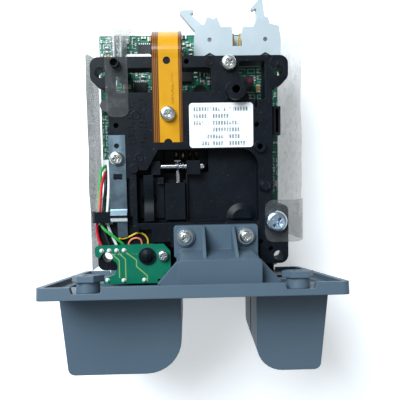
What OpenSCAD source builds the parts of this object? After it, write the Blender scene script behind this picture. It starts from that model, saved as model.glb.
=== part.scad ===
// Dip-type card reader unit with a two-lobed bezel.
// Row frame: X across the slot, +Y into the machine, Z normal to the card, origin at the slot's mouth.

/* [Card path] */
// Width of the card that the slot takes
card_w = 54; // [53.5:0.1:54.5]
// Height of the gap that the card runs in
card_gap = 1.6; // [1.2:0.1:2]
// Sideways offset of the card's centre line
card_x = 1.4; // [0:0.1:2]

/* [Bezel] */
// Width of the flange
flange_w = 98; // [94:0.5:104]
// Height of the flange along its own slope
flange_h = 70; // [66:0.5:76]
// Depth of the flange tray, front face to back rim
flange_d = 4; // [3.5:0.1:5]
// Lean of the flange, top edge towards the machine
flange_tilt = 9; // [6:0.5:12]
// Height of the two lobes
lobe_h = 32.6; // [30:0.2:36]
// How far the lobes stand out from the slot's mouth
lobe_reach = 30.5; // [26:0.5:34]
// Width of the finger notch between the lobes
notch_w = 26.6; // [24:0.2:28]
// Middle of the finger notch
notch_x = 8.8; // [8:0.1:10]

/* [Chassis] */
// Half the width over the chassis ears
ear_x = 35; // [34.5:0.1:36]
// Top face of the upper chassis
top_z = 9; // [8.5:0.1:10]
// Distance between the mounting holes across the unit
hole_dx = 63; // [62.5:0.1:63.5]
// Distance between the mounting holes along the unit
hole_dy = 66.4; // [66:0.1:67]
// Diameter of the mounting holes
hole_d = 3.6; // [3.2:0.1:4]

/* [Boards] */
// Half the width of the main board
board_x = 35.3; // [34.5:0.1:36]
// Top face of the main board
board_z = -12; // [-13:0.1:-11.5]
// Thickness of the boards
board_t = 1.6; // [1:0.2:1.6]

/* [Plug header] */
// How far the left latch stands open, from shut
left_latch_open = 48; // [30:1:48]

/* [Hidden] */
$fn = 40;
gap = 0.1;                       // small play between fitted pieces
slot_lo = card_x - card_w / 2 - 0.3;
slot_hi = card_x + card_w / 2 + 0.3;
path_top = card_gap / 2;
rim_y = 0.6;                     // back rim of the flange at the height of the slot
wall = 2;
front_hole_y = 9.5;
rear_hole_y = front_hole_y + hole_dy;
body_x = 29.4;                   // half the width of the chassis between its ears
body_back = 81.3;
lower_back = 67;                 // rear end of the lower chassis
plate_front = 48.6;              // front edge of the chassis top plate over the pocket
pocket = [-19.7, 24.2, 22.2];    // left, right and front of the pocket
floor_z = 3;                     // pocket floor
hood = [-4.9, 22.1, 12.8, 30];   // left, right, back and top of the hood over the finger recess
bracket = [-6.7, 23.5, 21.4];    // left, right and back of the bezel's bracket
bracket_z = 11.5;
bracket_screws = [[-2.6, 17.3], [19, 17.3]];
boss_x = 33.3;                   // hexagon bosses on the flange, each side of the middle
lever_pivot = [42.6, 5];         // y and z of the lock lever's shaft
lever_lean = 27;                 // lean of the free lever, away from the slot
plunger_at = [-5, 3];            // x and z of the solenoid's axis
shaft_d = 2;
roller_at = [-14.6, 30.5, -4.3]; // pressure roller, under the magnetic head
roller_d = 8;
chip_x = card_x - 3.1;           // middle of the card's contact pad
contact_pitch = 2.54;
contact_y = 47;                  // front row of contact tips
row_gap = 7.62;
stop_y = contact_y + 11.25 + row_gap; // where the card's front edge meets the carriage
header = [2, 34.8, 81.6, 94.7];  // left, right, front and back of the plug header
header_z = -3;                   // its top
latch_pivots = [[7.9, 90], [29, 90]];
film_z = -17.3;
film_t = 0.3;
lead_board = [-35.6, -8.2, 0.1, 14.6]; // left, right, front and back of the small board
lead_board_z = 7;                // its underside
flex_x = [-13.3, -2.6];
lamp_x = [-25.4, -17.9];         // lamps under the small board
rear_screw = [13.9, 78.6];
flex_screw_at = [-7.9, 61.3];
leaf_screw_at = [-26.4, 45.8];
earth_screw_at = [30.2, 22.3];
wire_d = 1.1;
thin_wire_d = 0.7;

bezel_grey = [0.25, 0.31, 0.38];
chassis_black = [0.05, 0.06, 0.08];
steel = [0.78, 0.79, 0.8];
zinc = [0.72, 0.78, 0.82];
board_green = [0.03, 0.4, 0.27];
gold = [0.85, 0.68, 0.3];
header_grey = [0.78, 0.84, 0.87];
part_black = [0.07, 0.07, 0.08];

// ---------- shared shapes ----------

// Points of a closed outline whose corners [x, y, r] are rounded by arcs of radius r.
function unit(v) = v / norm(v);
function corner(a, b, c, r) =
    let (u = unit(a - b), w = unit(c - b), half = acos(u * w) / 2,
         reach = r / tan(half), centre = b + unit(u + w) * r / sin(half),
         from = b + u * reach - centre, to = b + w * reach - centre,
         turn = 180 - 2 * half, side = sign(from.x * to.y - from.y * to.x),
         steps = max(2, ceil(turn / 12)))
    [for (i = [0:steps]) let (t = side * turn * i / steps)
        centre + [from.x * cos(t) - from.y * sin(t), from.x * sin(t) + from.y * cos(t)]];
function rounded(p) =
    [for (i = [0:len(p) - 1])
        let (a = p[(i + len(p) - 1) % len(p)], b = p[i], c = p[(i + 1) % len(p)])
        each b[2] > 0 ? corner([a.x, a.y], [b.x, b.y], [c.x, c.y], b[2]) : [[b.x, b.y]]];

// Outline of a thin strip of thickness t along an open line of points.
function strip(p, t) =
    let (n = len(p) - 1,
         side = [for (i = [0:n])
             let (d = unit(p[min(i + 1, n)] - p[max(i - 1, 0)])) p[i] + t * [-d.y, d.x]])
    concat(p, [for (i = [n:-1:0]) side[i]]);

module slab(z0, z1) { translate([0, 0, z0]) linear_extrude(z1 - z0) children(); }

module box(lo, hi) { translate(lo) cube(hi - lo); }

// A box with its four upright edges rounded.
module soft_box(lo, hi, r) {
    slab(lo.z, hi.z)
        polygon(rounded([[lo.x, lo.y, r], [hi.x, lo.y, r], [hi.x, hi.y, r], [lo.x, hi.y, r]]));
}

// Extrudes an outline drawn in the Y-Z plane from x0 to x1.
module across(x0, x1) { translate([x0, 0, 0]) rotate([90, 0, 90]) linear_extrude(x1 - x0) children(); }

// Extrudes an outline drawn in the X-Z plane from y0 to y1.
module along(y0, y1) { translate([0, y1, 0]) rotate([90, 0, 0]) linear_extrude(y1 - y0) children(); }

module rod(from, to, d) {
    v = to - from;
    translate(from) rotate([0, acos(v.z / norm(v)), atan2(v.y, v.x)]) cylinder(d = d, h = norm(v));
}

// Pan-head screw with a cross recess; the head sits on z = 0 and the shank points down.
module pan_screw(head_d, head_h, shank_d, length) {
    edge = head_h * 0.45;
    crown = (pow(head_d / 2, 2) + pow(head_h - edge, 2)) / (2 * (head_h - edge));
    difference() {
        union() {
            intersection() {
                cylinder(d = head_d, h = head_h);
                translate([0, 0, head_h - crown]) sphere(r = crown, $fn = 64);
            }
            translate([0, 0, -length]) cylinder(d = shank_d, h = length + 0.01);
        }
        for (turn = [0, 90])
            rotate(turn + 25) translate([0, 0, head_h])
                cube([head_d * 0.56, head_d * 0.14, head_h], center = true);
    }
}

module washer(outer, inner, t) {
    difference() {
        cylinder(d = outer, h = t);
        translate([0, 0, -1]) cylinder(d = inner, h = t + 2);
    }
}

// A tube swept along the points of a route, with flat closed ends; aside is a way it never points.
function heading(p, i) = unit(p[min(i + 1, len(p) - 1)] - p[max(i - 1, 0)]);
function ring(p, i, d, sides, aside) =
    let (t = heading(p, i), u = unit(cross(t, aside)), w = cross(t, u))
    [for (k = [0:sides - 1]) p[i] + d / 2 * (cos(360 * k / sides) * u + sin(360 * k / sides) * w)];
module tube(p, d, sides = 8, aside = [1, 0, 0]) {
    n = len(p);
    polyhedron(
        points = [for (i = [0:n - 1]) each ring(p, i, d, sides, aside)],
        faces = concat(
            [[for (k = [0:sides - 1]) k]],
            [for (i = [0:n - 2]) for (k = [0:sides - 1]) let (a = i * sides, b = (k + 1) % sides)
                each [[a + k, a + sides + k, a + sides + b], [a + k, a + sides + b, a + b]]],
            [[for (k = [sides - 1:-1:0]) (n - 1) * sides + k]]),
        convexity = 6);
}

// A smooth line through points chosen by hand (Catmull-Rom), with a few steps between them.
function blend_at(a, b, c, d, t) =
    0.5 * (2 * b + t * (c - a) + t * t * (2 * a - 5 * b + 4 * c - d) + t * t * t * (3 * b - a - 3 * c + d));
function smooth(p, steps) =
    let (n = len(p) - 1)
    concat([for (i = [0:n - 1]) for (s = [0:steps - 1])
        blend_at(p[max(i - 1, 0)], p[i], p[i + 1], p[min(i + 2, n)], s / steps)], [p[n]]);

// A coil spring along Y from y0 to y1.
module coil(at, y0, y1, d, wire, turns) {
    tube([for (i = [0:turns * 10])
        [at.x + d / 2 * cos(36 * i), y0 + (y1 - y0) * i / (turns * 10), at.y + d / 2 * sin(36 * i)]],
        wire, 6, [0, 1, 0]);
}

// ---------- bezel ----------

lobe_back = 3;
notch_lo = notch_x - notch_w / 2;
notch_hi = notch_x + notch_w / 2;
left_outline = rounded([[-47.4, lobe_back, 0], [-44.6, -lobe_reach, 2.5], [notch_lo, -lobe_reach, 12.5],
                     [notch_lo, lobe_back, 0]]);
right_outline = rounded([[48, lobe_back, 0], [notch_hi, lobe_back, 0], [notch_hi, -lobe_reach, 9],
                      [44.8, -lobe_reach, 2.5]]);
left_core = rounded([[-44.6, 9, 0], [-42.2, 2.2 - lobe_reach, 1.5], [notch_lo - 2.2, 2.2 - lobe_reach, 10.5],
                     [notch_lo - 2.2, 9, 0]]);
right_core = rounded([[45.4, 9, 0], [notch_hi + 2.2, 9, 0], [notch_hi + 2.2, 2.2 - lobe_reach, 7],
                      [42.4, 2.2 - lobe_reach, 1.5]]);

// The flange's own frame: y is depth from its back rim, z runs up its slope.
module on_flange() { translate([0, rim_y, 0]) rotate([-flange_tilt, 0, 0]) children(); }

module flange_face(inside, r) {
    w = flange_w / 2 - inside;
    h = flange_h / 2 - inside;
    polygon(rounded([[-w, -h, r], [w, -h, r], [w, h, r], [-w, h, r]]));
}

module flange_tray() {
    on_flange() difference() {
        along(-flange_d, 0) flange_face(0, 2.5);
        along(-flange_d + wall, 1) flange_face(wall, 1);
        // scallops in the top and bottom rims, round the hexagon bosses
        for (sx = [-1, 1], sz = [-1, 1])
            translate([sx * boss_x, 0.4, sz * flange_h / 2]) difference() {
                cylinder(r = 4.9, h = 9, center = true);
                translate([-6, -9, -6]) cube([12, 8.6 - flange_d + wall, 12]);
            }
    }
}

// Hexagon boss on a round post, with a blind hole for the fascia's screw.
module panel_bosses() {
    color(bezel_grey) on_flange() for (sx = [-1, 1], sz = [-1, 1])
        translate([sx * boss_x, -flange_d + wall, sz * (flange_h / 2 - 4.1)]) rotate([-90, 0, 0])
            difference() {
                union() {
                    cylinder(d = 7.4, h = 3.4);
                    translate([0, 0, 3.4]) cylinder(d = 10.2, h = 2, $fn = 6);
                }
                translate([0, 0, 1]) cylinder(d = 3.4, h = 10);
            }
}

// One lobe as a shell, up to the front of the flange: two hollows with the card path between them.
module lobe(outline, core) {
    difference() {
        slab(-lobe_h / 2, lobe_h / 2) polygon(outline);
        lobe_hollows() polygon(core);
        slot_cut();
        on_flange() box([-60, -flange_d, -40], [60, 12, 40]);
    }
}

module lobe_hollows() {
    for (z = [[path_top + 2.4, lobe_h / 2 - 2.2], [-lobe_h / 2 + 2.2, -path_top - 2.4]])
        slab(z[0], z[1]) children();
}

// The slot: straight sides, with a flared mouth between the noses.
module slot_cut() {
    box([slot_lo - 0.5, -40, -path_top - 0.2], [slot_hi + 0.5, 12, path_top + 0.2]);
    across(slot_lo - 0.5, slot_hi + 0.5)
        polygon([[-lobe_reach - 0.1, -3.4], [-lobe_reach - 0.1, 3.4],
                 [-lobe_reach + 4, path_top], [-lobe_reach + 4, -path_top]]);
}

// Box behind the finger recess, the bracket that lies on the chassis, its ribs and side webs.
module hood_solid() {
    front = -1;
    difference() {
        union() {
            soft_box([hood[0], front, 1.4], [hood[1], hood[2], hood[3]], 1.5);
            along(4, hood[2] - 1.5) polygon([[hood[0] - 1, 12], [hood[1] + 1, 12], [hood[1], hood[3] - 2],
                                       [hood[0], hood[3] - 2]]);
        }
        on_flange() box([-60, -12, -60], [60, -flange_d + wall / 2, 60]);
    }
    for (side = [[hood[0], -7], [hood[1], 7]])
        slab(24, 26) polygon([[side[0], 2], [side[0] + side[1], 4.2], [side[0], 12]]);
}

module bracket_solid() {
    difference() {
        union() {
            soft_box([bracket[0], hood[2] - 3, top_z], [bracket[1], bracket[2], bracket_z], 1);
            for (p = bracket_screws) translate([p.x, p.y, top_z]) cylinder(d = 7, h = bracket_z + 0.7 - top_z);
            for (x = [3.2, 13.8])
                across(x, x + 1.2) polygon([[hood[2] - 1, bracket_z - 1], [bracket[2] - 0.2, bracket_z - 1],
                                            [bracket[2] - 0.2, bracket_z + 1], [hood[2] - 1, hood[3] - 1]]);
        }
        for (p = bracket_screws) translate([p.x, p.y, 0]) cylinder(d = 3, h = 30);
        box([hood[0] + wall, 0, 5], [hood[1] - wall, hood[2] - wall, hood[3] - wall]);
    }
}

module left_lobe() { color(bezel_grey) lobe(left_outline, left_core); }
module right_lobe() { color(bezel_grey) lobe(right_outline, right_core); }

module bezel() {
    color(bezel_grey) difference() {
        union() {
            flange_tray();
            hood_solid();
            bracket_solid();
        }
        lobe_hollows() { polygon(left_core); polygon(right_core); }
        slot_cut();
        // finger recess inside the hood, open to the front and down to the card
        box([hood[0] + wall, -10, path_top + 0.2], [hood[1] - wall, hood[2] - wall, hood[3] - wall]);
    }
}

module bezel_washers() {
    color(zinc) for (p = bracket_screws) translate([p.x, p.y, bracket_z + 0.7]) washer(5.6, 2.9, 0.5);
}

module bezel_screws() {
    color(zinc) for (p = bracket_screws) translate([p.x, p.y, bracket_z + 1.2]) pan_screw(4.4, 1.9, 2.6, 9);
}

// ---------- chassis ----------

// Plan of the upper chassis, with its four ears.
chassis_plan = rounded([[-ear_x, body_back, 3], [-ear_x, 73.6, 3], [-32, 70.4, 2], [-body_x, 70.4, 0], [-body_x, 21.5, 0],
                        [-ear_x, 21.5, 1], [-ear_x, 4.6, 2.5], [-26, 4.6, 0], [-26, 0.4, 0], [-9, 0.4, 0], [-9, 13.2, 0],
                        [24.6, 13.2, 0], [24.6, 6.6, 0], [ear_x, 6.6, 3], [ear_x, 28, 2], [body_x, 28, 0], [body_x, 70.4, 0],
                        [32, 70.4, 2], [ear_x, 73.6, 3], [ear_x, body_back, 3]]);

// Pocket in the top, cut across its rear left corner and round at its rear right one.
pocket_plan = rounded([[pocket[0], pocket[2], 0.6], [pocket[1], pocket[2], 0.6], [pocket[1], plate_front, 6.5],
                       [-11.8, plate_front, 0.6], [-15.8, 41.4, 0], [pocket[0], 41.4, 0.6]]);

module chassis_windows() {
    // long window in front of the rear bar, and the square one at the right
    soft_box([-27.2, 68.8, -1], [7.6, 77.3, 12], 0.8);
    difference() {
        soft_box([17.6, 66, -1], [26.7, 79.3, 12], 0.5);
        box([10, 60, -1], [19.9, 72.6, 12]);
    }
    // opening in the pocket floor over the contacts and the lock lever
    box([-11.4, 37.4, -1], [-1.9, 41, floor_z + 3]);
    box([-11.4, 40.4, -1], [6.4, plate_front + 2.4, floor_z + 3]);
    box([-19.4, 23.4, -1], [-9.7, 39.6, 12]);
    box([-9.9, 22.9, 1.35], [-2.3, 41, 12]);
    // slot for the sensor's light and the chip of the flex edge
    box([23.2, 63, 4], [23.9, 74, 12]);
    box([-30, 57, 6.4], [-27.6, 69, 12]);
}

module chassis_bosses() {
    translate([16.1, 69, top_z - 6]) cylinder(d = 7, h = 10.2);
    box([12.9, 66, path_top], [19.5, 72.2, top_z + 0.6]);
    translate([-26.1, 78.8, top_z - 2]) cylinder(d = 3.3, h = 5);
    translate([24.7, 49.2, top_z - 2]) cylinder(d = 4.2, h = 3.4);
    translate([26.4, 35, top_z - 2]) cylinder(d = 4, h = 2.9);
    translate([26.4, 35, top_z + 0.9]) cylinder(d1 = 4, d2 = 2.6, h = 0.7);
    translate([-20.6, 42, top_z - 4]) cylinder(d = 3.4, h = 4.6);
    translate([-20.2, 20.4, top_z - 2]) cylinder(d = 2.4, h = 2.8);
    // ejector marks, a hair proud of the face
    for (p = [[7, 79.4], [30.2, 79], [24.3, 62], [-18.4, 46], [-19.4, 61]])
        translate([p.x, p.y, top_z - 1]) washer(3, 2.4, 1.12);
    // posts that stand on the main board
    for (p = [rear_screw, [-26.1, 78.8]])
        translate([p.x, p.y, board_z]) cylinder(d = 5.6, h = path_top - board_z + 0.01);
}

module chassis_holes() {
    for (x = [-1, 1], y = [front_hole_y, rear_hole_y])
        translate([x * hole_dx / 2, y, -2]) cylinder(d = hole_d, h = 20);
    translate([16.1, 69, 2]) cylinder(d = 2.7, h = 14);
    translate([-26.1, 78.8, 7]) cylinder(d = 2.4, h = 8);
    translate([24.7, 49.2, 4]) cylinder(d = 2, h = 8);
    for (p = [[23.7, 57], [-26.4, 57.4], [-1, 79.4], [24.8, 14.6], [28.6, 12]])
        translate([p.x, p.y, 6]) cylinder(d = 1.8, h = 8);
    translate([rear_screw.x, rear_screw.y, top_z - 9]) cylinder(d = 3.1, h = 12);
    translate([flex_screw_at.x, flex_screw_at.y, top_z - 6]) cylinder(d = 3.1, h = 12);
    translate([leaf_screw_at.x, leaf_screw_at.y, top_z - 6]) cylinder(d = 2.7, h = 12);
    translate([earth_screw_at.x, earth_screw_at.y, top_z - 7]) cylinder(d = 4.1, h = 12);
    for (p = bracket_screws) translate([p.x, p.y, top_z - 7]) cylinder(d = 2.7, h = 12);
    for (p = [rear_screw, [-26.1, 78.8]]) translate([p.x, p.y, board_z - 1]) cylinder(d = 2.1, h = 7);
    for (p = joint_screws) translate([p.x, p.y, 0]) cylinder(d = 1.6, h = 5.6);
}

// Bearing blocks of the lock shaft.
module shaft_blocks() {
    difference() {
        union() {
            box([-1.7, 39.6, floor_z - 1.6], [3.3, 44.6, 7]);
            box([-14.6, 39.6, floor_z - 1.6], [-11.2, 44.6, 7]);
        }
        translate([-20, lever_pivot[0], lever_pivot[1]]) rotate([0, 90, 0]) cylinder(d = shaft_d + 0.06, h = 30);
    }
}

// Pilot holes of the screws that hold the two chassis halves together.
joint_screws = [[-27.9, 33], [-27.9, 63.4], [32.2, 15.6]];

module upper_chassis() {
    lead_pocket = [[-40, -2], [-8, -2], [-8, 15.2], [-14.8, 15.2], [-14.8, 19.9], [-21.4, 19.9], [-21.4, 24.8],
                   [-40, 24.8]];
    color(chassis_black) {
        difference() {
            union() {
                difference() {
                    slab(path_top, top_z) polygon(chassis_plan);
                    slab(floor_z, top_z + 1) polygon(pocket_plan);
                    slab(6, top_z + 1) polygon(lead_pocket);
                    // channel that the leads lie in, and holes for the lamps under the small board
                    box([-40, 11.6, 4.7], [-24, 24.8, 12]);
                    for (x = lamp_x) translate([x, 1.3, 2.8]) cylinder(d = 3.1, h = 9);
                    // step along the left edge, under the leaf
                    box([-30, 24, 7.6], [-22.2, 38.5, 12]);
                    // groove round the label
                    slab(top_z - 0.25, top_z + 1) polygon(rounded([[-0.6, 48.9, 1.4], [22.6, 48.9, 1.4],
                                                                  [22.6, 65.1, 1.4], [-0.6, 65.1, 1.4]]));
                    chassis_windows();
                }
                chassis_bosses();
                // raised guides and gate cone on the pocket floor
                box([-2, 22.2, floor_z - 0.5], [-1.4, 40.2, floor_z + 1.4]);
                translate([18.6, 22.8, floor_z - 0.1]) difference() {
                    cylinder(d1 = 12, d2 = 7, h = 1.1);
                    translate([-10, -10, -1]) cube([20, 9.9, 5]);
                }
                for (p = [[-10.8, 10.3], [-16.6, 10.2]])
                    translate([p.x, p.y, 5.9]) cylinder(d = 4.4, h = lead_board_z - 5.9);
            }
            chassis_holes();
            translate([-10.8, 10.3, 3]) cylinder(d = 2.1, h = 8);
            translate([-16.6, 10.2, 3]) cylinder(d = 2.3, h = 8);
        }
        shaft_blocks();
    }
}

// The base under the card: floor of the card path, rails at both sides, wells for the roller and contacts.
board_posts = [[-27.6, 22], [28.2, 22], [-27.6, 58], [28.2, 58]];

module lower_chassis() {
    color(chassis_black) difference() {
        union() {
            box([-29.4, -1, -9.5], [30.9, lower_back, path_top]);
            // tail under the solid part of the top, for the end stop's channel
            box([7.9, 60, -9.5], [15, 75.2, -path_top]);
            soft_box([28, 12, -9.5], [ear_x, 19.4, path_top], 1.5);
            for (p = board_posts) translate([p.x, p.y, board_z]) cylinder(d = 5, h = 3);
        }
        // card path
        box([slot_lo, -2, -path_top], [slot_hi, lower_back + 1, path_top + 1]);
        // well of the contact carriage and channel of its end stop
        box([-10.4, 40, -8], [9.6, lower_back - 2.4, 2]);
        box([8.2, 55, -8], [12.8, 73.4, 2]);
        // well of the roller, and the seats of its axle
        box([-20.4, roller_at.y - 5, -10], [-8.8, roller_at.y + 5, 2]);
        translate([-22.4, roller_at.y, roller_at.z]) rotate([0, 90, 0]) cylinder(d = shaft_d, h = 15.6);
        for (p = board_posts) translate([p.x, p.y, board_z - 1]) cylinder(d = 2.1, h = 8);
        // holes and head recesses of the screws that hold the two halves together
        for (p = joint_screws) {
            translate([p.x, p.y, -12]) cylinder(d = 1.7, h = 20);
            translate([p.x, p.y, -12]) cylinder(d = 3.3, h = 4.6);
        }
        // the mounting screw passes at the right
        box([29.3, front_hole_y - 2.4, -12], [40, front_hole_y + 2.4, 2]);
        // seats of the card sensors
        for (x = [-23, 13]) box([x - 2.1, 6.9, -10], [x + 2.1, 12.1, -2.4]);
        for (x = [-23, 13]) translate([x, 9.5, -3]) cylinder(d = 1.4, h = 6);
        // clear of the flange's lower rim
        on_flange() box([-60, -6, -60], [60, -flange_d + wall + gap, 60]);
    }
}

module chassis_screws() {
    color(zinc) for (p = joint_screws)
        translate([p.x, p.y, -7.4]) rotate([180, 0, 0]) pan_screw(2.9, 1.2, 1.6, 12);
}

// Hook that the leads run under, on the left side of the chassis.
module cable_hook() {
    color(chassis_black) along(22.6, 26.6)
        polygon([[-29.4, 3.2], [-29.4, 8.9], [-35.2, 8.9], [-36.3, 7.7], [-36.3, 5.4], [-35.5, 5.4], [-35.3, 7.8],
                 [-30.5, 7.9], [-30.3, 3.2]]);
}

module rear_screw() {
    color(zinc) translate([rear_screw.x, rear_screw.y, top_z]) pan_screw(5.4, 2.4, 3, 8);
}
module flex_screw() {
    color(zinc) translate([flex_screw_at.x, flex_screw_at.y, top_z + 0.3]) pan_screw(5.3, 2.1, 3, 5.5);
}
module leaf_screw() {
    color(zinc) translate([leaf_screw_at.x, leaf_screw_at.y, top_z + 0.35]) pan_screw(4.9, 2.2, 2.6, 5.5);
}
module earth_screw() {
    color(zinc) translate([earth_screw_at.x, earth_screw_at.y, top_z + film_t + 0.04]) pan_screw(8, 3.4, 4, 7);
}

// Spring strip down the left edge: flat where it is screwed, then stepped down towards the slot.
module side_leaf() {
    t = 0.3;
    path = [[54, top_z], [27.6, top_z], [25.4, top_z + 1.1], [23.4, top_z + 0.2], [22.9, top_z - 1.2],
            [17.2, top_z - 1.9]];
    color([0.42, 0.45, 0.47]) difference() {
        union() {
            across(-29.3, -23.3) polygon([for (p = strip([for (i = [0:4]) path[i]], -t)) p]);
            across(-27.2, -23.6) polygon([for (p = strip([path[4], path[5]], -t)) p]);
        }
        translate([leaf_screw_at.x, leaf_screw_at.y, 5]) cylinder(d = 2.9, h = 10);
        translate([-26.4, 50.2, 5]) cylinder(d = 1.8, h = 10);
        box([-27.9, 38.2, 5], [-24.7, 40.2, 12]);
    }
}

module label() {
    color([0.94, 0.95, 0.97]) slab(top_z - 0.25, top_z + 0.05)
        polygon(rounded([[-0.4, 49.1, 1.2], [22.4, 49.1, 1.2], [22.4, 64.9, 1.2], [-0.4, 64.9, 1.2]]));
}

// ---------- boards ----------

module main_board() {
    board_back = 94.3;
    board_front = 14;
    low = board_z - board_t;
    color(board_green) difference() {
        slab(low, board_z) polygon(rounded([[-board_x, board_front, 1], [board_x, board_front, 1],
                                            [board_x, board_back, 1], [-board_x, board_back, 1]]));
        for (x = [-1, 1]) translate([x * hole_dx / 2, rear_hole_y, low - 1]) cylinder(d = 5.4, h = 4);
        for (p = [rear_screw, [-26.1, 78.8], [-27.6, 22], [28.2, 22], [-27.6, 58], [28.2, 58]])
            translate([p.x, p.y, low - 1]) cylinder(d = 2.6, h = 4);
    }
}

module main_board_screws() {
    color(zinc) for (p = [rear_screw, [-26.1, 78.8], [-27.6, 22], [28.2, 22], [-27.6, 58], [28.2, 58]])
        translate([p.x, p.y, board_z - board_t]) rotate([180, 0, 0]) pan_screw(3.8, 1.5, 2, 6);
}

module processor_chip() {
    color(part_black) box([-9, 76, board_z], [1, 80.6, board_z + 1.4]);
    color(steel) for (i = [0:10])
        box([-8.4 + i * 0.86, 75, board_z], [-8 + i * 0.86, 81.6, board_z + 0.4]);
}

module driver_chips() {
    color(part_black) for (p = [[-22, 72, 5, 4], [-14, 71.4, 4, 4.4], [-20, 87.2, 5, 3.4], [20, 66.6, 3.4, 4.6]])
        box([p.x, p.y, board_z], [p.x + p[2], p.y + p[3], board_z + 1.3]);
}

module can_capacitors() {
    for (p = [[22.6, 74.8], [-32.4, 66.4], [4, 71.6]]) {
        color(part_black) box([p.x - 2.4, p.y - 2.4, board_z], [p.x + 2.4, p.y + 2.4, board_z + 0.8]);
        color(steel) translate([p.x, p.y, board_z + 0.8]) cylinder(d = 4.6, h = 5.6);
    }
}

module crystal_can() {
    color(steel) soft_box([-25, 83.6, board_z], [-14.4, 86.6, board_z + 2.6], 1.4);
}

// Rows of chip resistors and capacitors, two sizes, laid out on a grid that leaves the larger parts free.
module small_components() {
    color([0.75, 0.72, 0.66]) {
        for (i = [0:7], j = [0:1])
            box([-24 + i * 1.9, 69.2 + j * 1.4, board_z], [-22.8 + i * 1.9, 69.9 + j * 1.4, board_z + 0.6]);
        for (i = [0:5]) box([-12 + i * 2.1, 88.4, board_z], [-11 + i * 2.1, 90.2, board_z + 0.7]);
        for (i = [0:2]) box([-23.4 + i * 3, 92, board_z], [-21.4 + i * 3, 93.2, board_z + 0.8]);
        for (i = [0:3]) box([31.8, 41 + i * 3, board_z], [33.4, 42 + i * 3, board_z + 0.7]);
        for (i = [0:4]) box([-34.4, 47 + i * 2, board_z], [-32.9, 48 + i * 2, board_z + 0.7]);
    }
}

module edge_socket() {
    color(part_black) difference() {
        box([32.2, 54, board_z], [34.9, 65, board_z + 8]);
        box([33, 55, board_z + 3], [34.1, 64, board_z + 9]);
    }
}

module power_socket() {
    color([0.93, 0.94, 0.92]) difference() {
        box([-29.2, 83.6, board_z], [-25.9, 93.4, board_z + 5.6]);
        box([-28.6, 84.2, board_z + 2], [-26.5, 92.8, board_z + 6]);
    }
    color(gold) for (i = [0:3]) box([-27.8, 85.6 + i * 2.1, board_z + 1.9], [-27.3, 86.1 + i * 2.1, board_z + 5]);
}

module harness_socket() {
    color([0.93, 0.94, 0.92]) difference() {
        box([-34.6, 39.4, board_z], [-31.2, 45.6, board_z + 5]);
        for (i = [0:3]) translate([-33.4 + (i % 2) * 1.2, 40.7 + i * 1.2, board_z + 2]) cylinder(d = 1.2, h = 4);
    }
}

module flex_socket() {
    color([0.85, 0.82, 0.74]) difference() {
        box([-14, 82.6, board_z], [-1.9, 87, board_z + 2.6]);
        box([-13.4, 84, board_z + 1], [-2.5, 88, board_z + 1.8]);
    }
}

// ---------- plug header ----------

// Plan of the header: a block at each end that carries a latch, and a lower middle with a key gap.
header_half = [[header[0], header[2], 0.5], [header[0], 90, 1], [2.5, 95, 0.8], [6.1, 95.8, 0.4], [6.7, 98, 0.4],
               [7.9, 98.4, 0.4], [9.4, 97.5, 0.5], [10.7, 98.5, 0.4], [12.2, header[3], 0.6], [16.4, header[3], 0.4],
               [16.4, 93.4, 0]];
header_mid = (header[0] + header[1]) / 2;
header_plan = rounded(concat(
    [for (i = [len(header_half) - 1:-1:0]) header_half[i]],
    [for (p = header_half) [2 * header_mid - p.x, p.y, p.z]]));

module header_housing() {
    color(header_grey) difference() {
        slab(board_z, header_z) polygon(header_plan);
        // plug cavity, open to the back
        box([9.4, 85.4, board_z + 1.4], [27.4, 102, header_z - 1.4]);
        // key gap in the top wall
        box([16.6, 87.6, header_z - 2], [20.2, 102, header_z + 1]);
        // slots that the latches turn in
        for (x = [[header[0] - 1, 10.2], [26.6, header[1] + 1]])
            box([x[0], 85.2, board_z + 2.9], [x[1], 102, header_z - 2.9]);
        for (p = latch_pivots) translate([p.x, p.y, board_z + 1.2]) cylinder(d = 1.6, h = 10);
        // relief panels on the top face
        for (p = latch_pivots)
            slab(header_z - 0.6, header_z + 1)
                polygon([[p.x - 2.6, 80], [p.x + 2.6, 80], [p.x + 2.6, 83.8], [p.x, 85.2], [p.x - 2.6, 83.8]]);
        slab(header_z - 0.6, header_z + 1) polygon([[11.6, 80], [25.2, 80], [24.4, 83.6], [12.4, 83.6]]);
    }
}

module header_pins() {
    color(gold) for (i = [-2.5:2.5], j = [0, 1]) {
        x = notch_x + 9.6 + i * 2.54;
        z = board_z + 3.2 + j * 2.54;
        box([x - 0.32, 85.4, z - 0.32], [x + 0.32, 93, z + 0.32]);
    }
}

module latch_pins() {
    color(steel) for (p = latch_pivots) translate([p.x, p.y, board_z + 1.2]) cylinder(d = 1.5, h = 7.4);
}

// One latch, shut, with its pivot at the origin and its arm along +Y; dir is the way it swings open.
module latch(dir) {
    t = 3;
    color(header_grey) translate([0, 0, board_z + 4.5 - t / 2]) difference() {
        linear_extrude(t) polygon(rounded([[dir * 1.9, -2.8, 0.8], [dir * 2.1, 1.6, 0.8], [dir * 0.7, 4.6, 1.5],
                                           [dir * 0.3, 9.5, 0], [dir * -0.6, 15.6, 0.5], [dir * -1.6, 16.1, 0.3],
                                           [dir * -5, 12.5, 0.4], [dir * -4.3, 11.7, 0.3], [dir * -2.9, 12.5, 0.3],
                                           [dir * -3.1, 4.4, 0.8], [dir * -2.1, 1.4, 0.6], [dir * -2.1, -2.8, 0.8]]));
        translate([0, 0, -1]) cylinder(d = 1.6, h = t + 2);
    }
}

module left_latch() {
    translate([latch_pivots[0].x, latch_pivots[0].y, 0]) rotate(left_latch_open) latch(-1);
}
module right_latch() {
    translate([latch_pivots[1].x, latch_pivots[1].y, 0]) latch(1);
}

// ---------- flex, film and leads ----------

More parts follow.
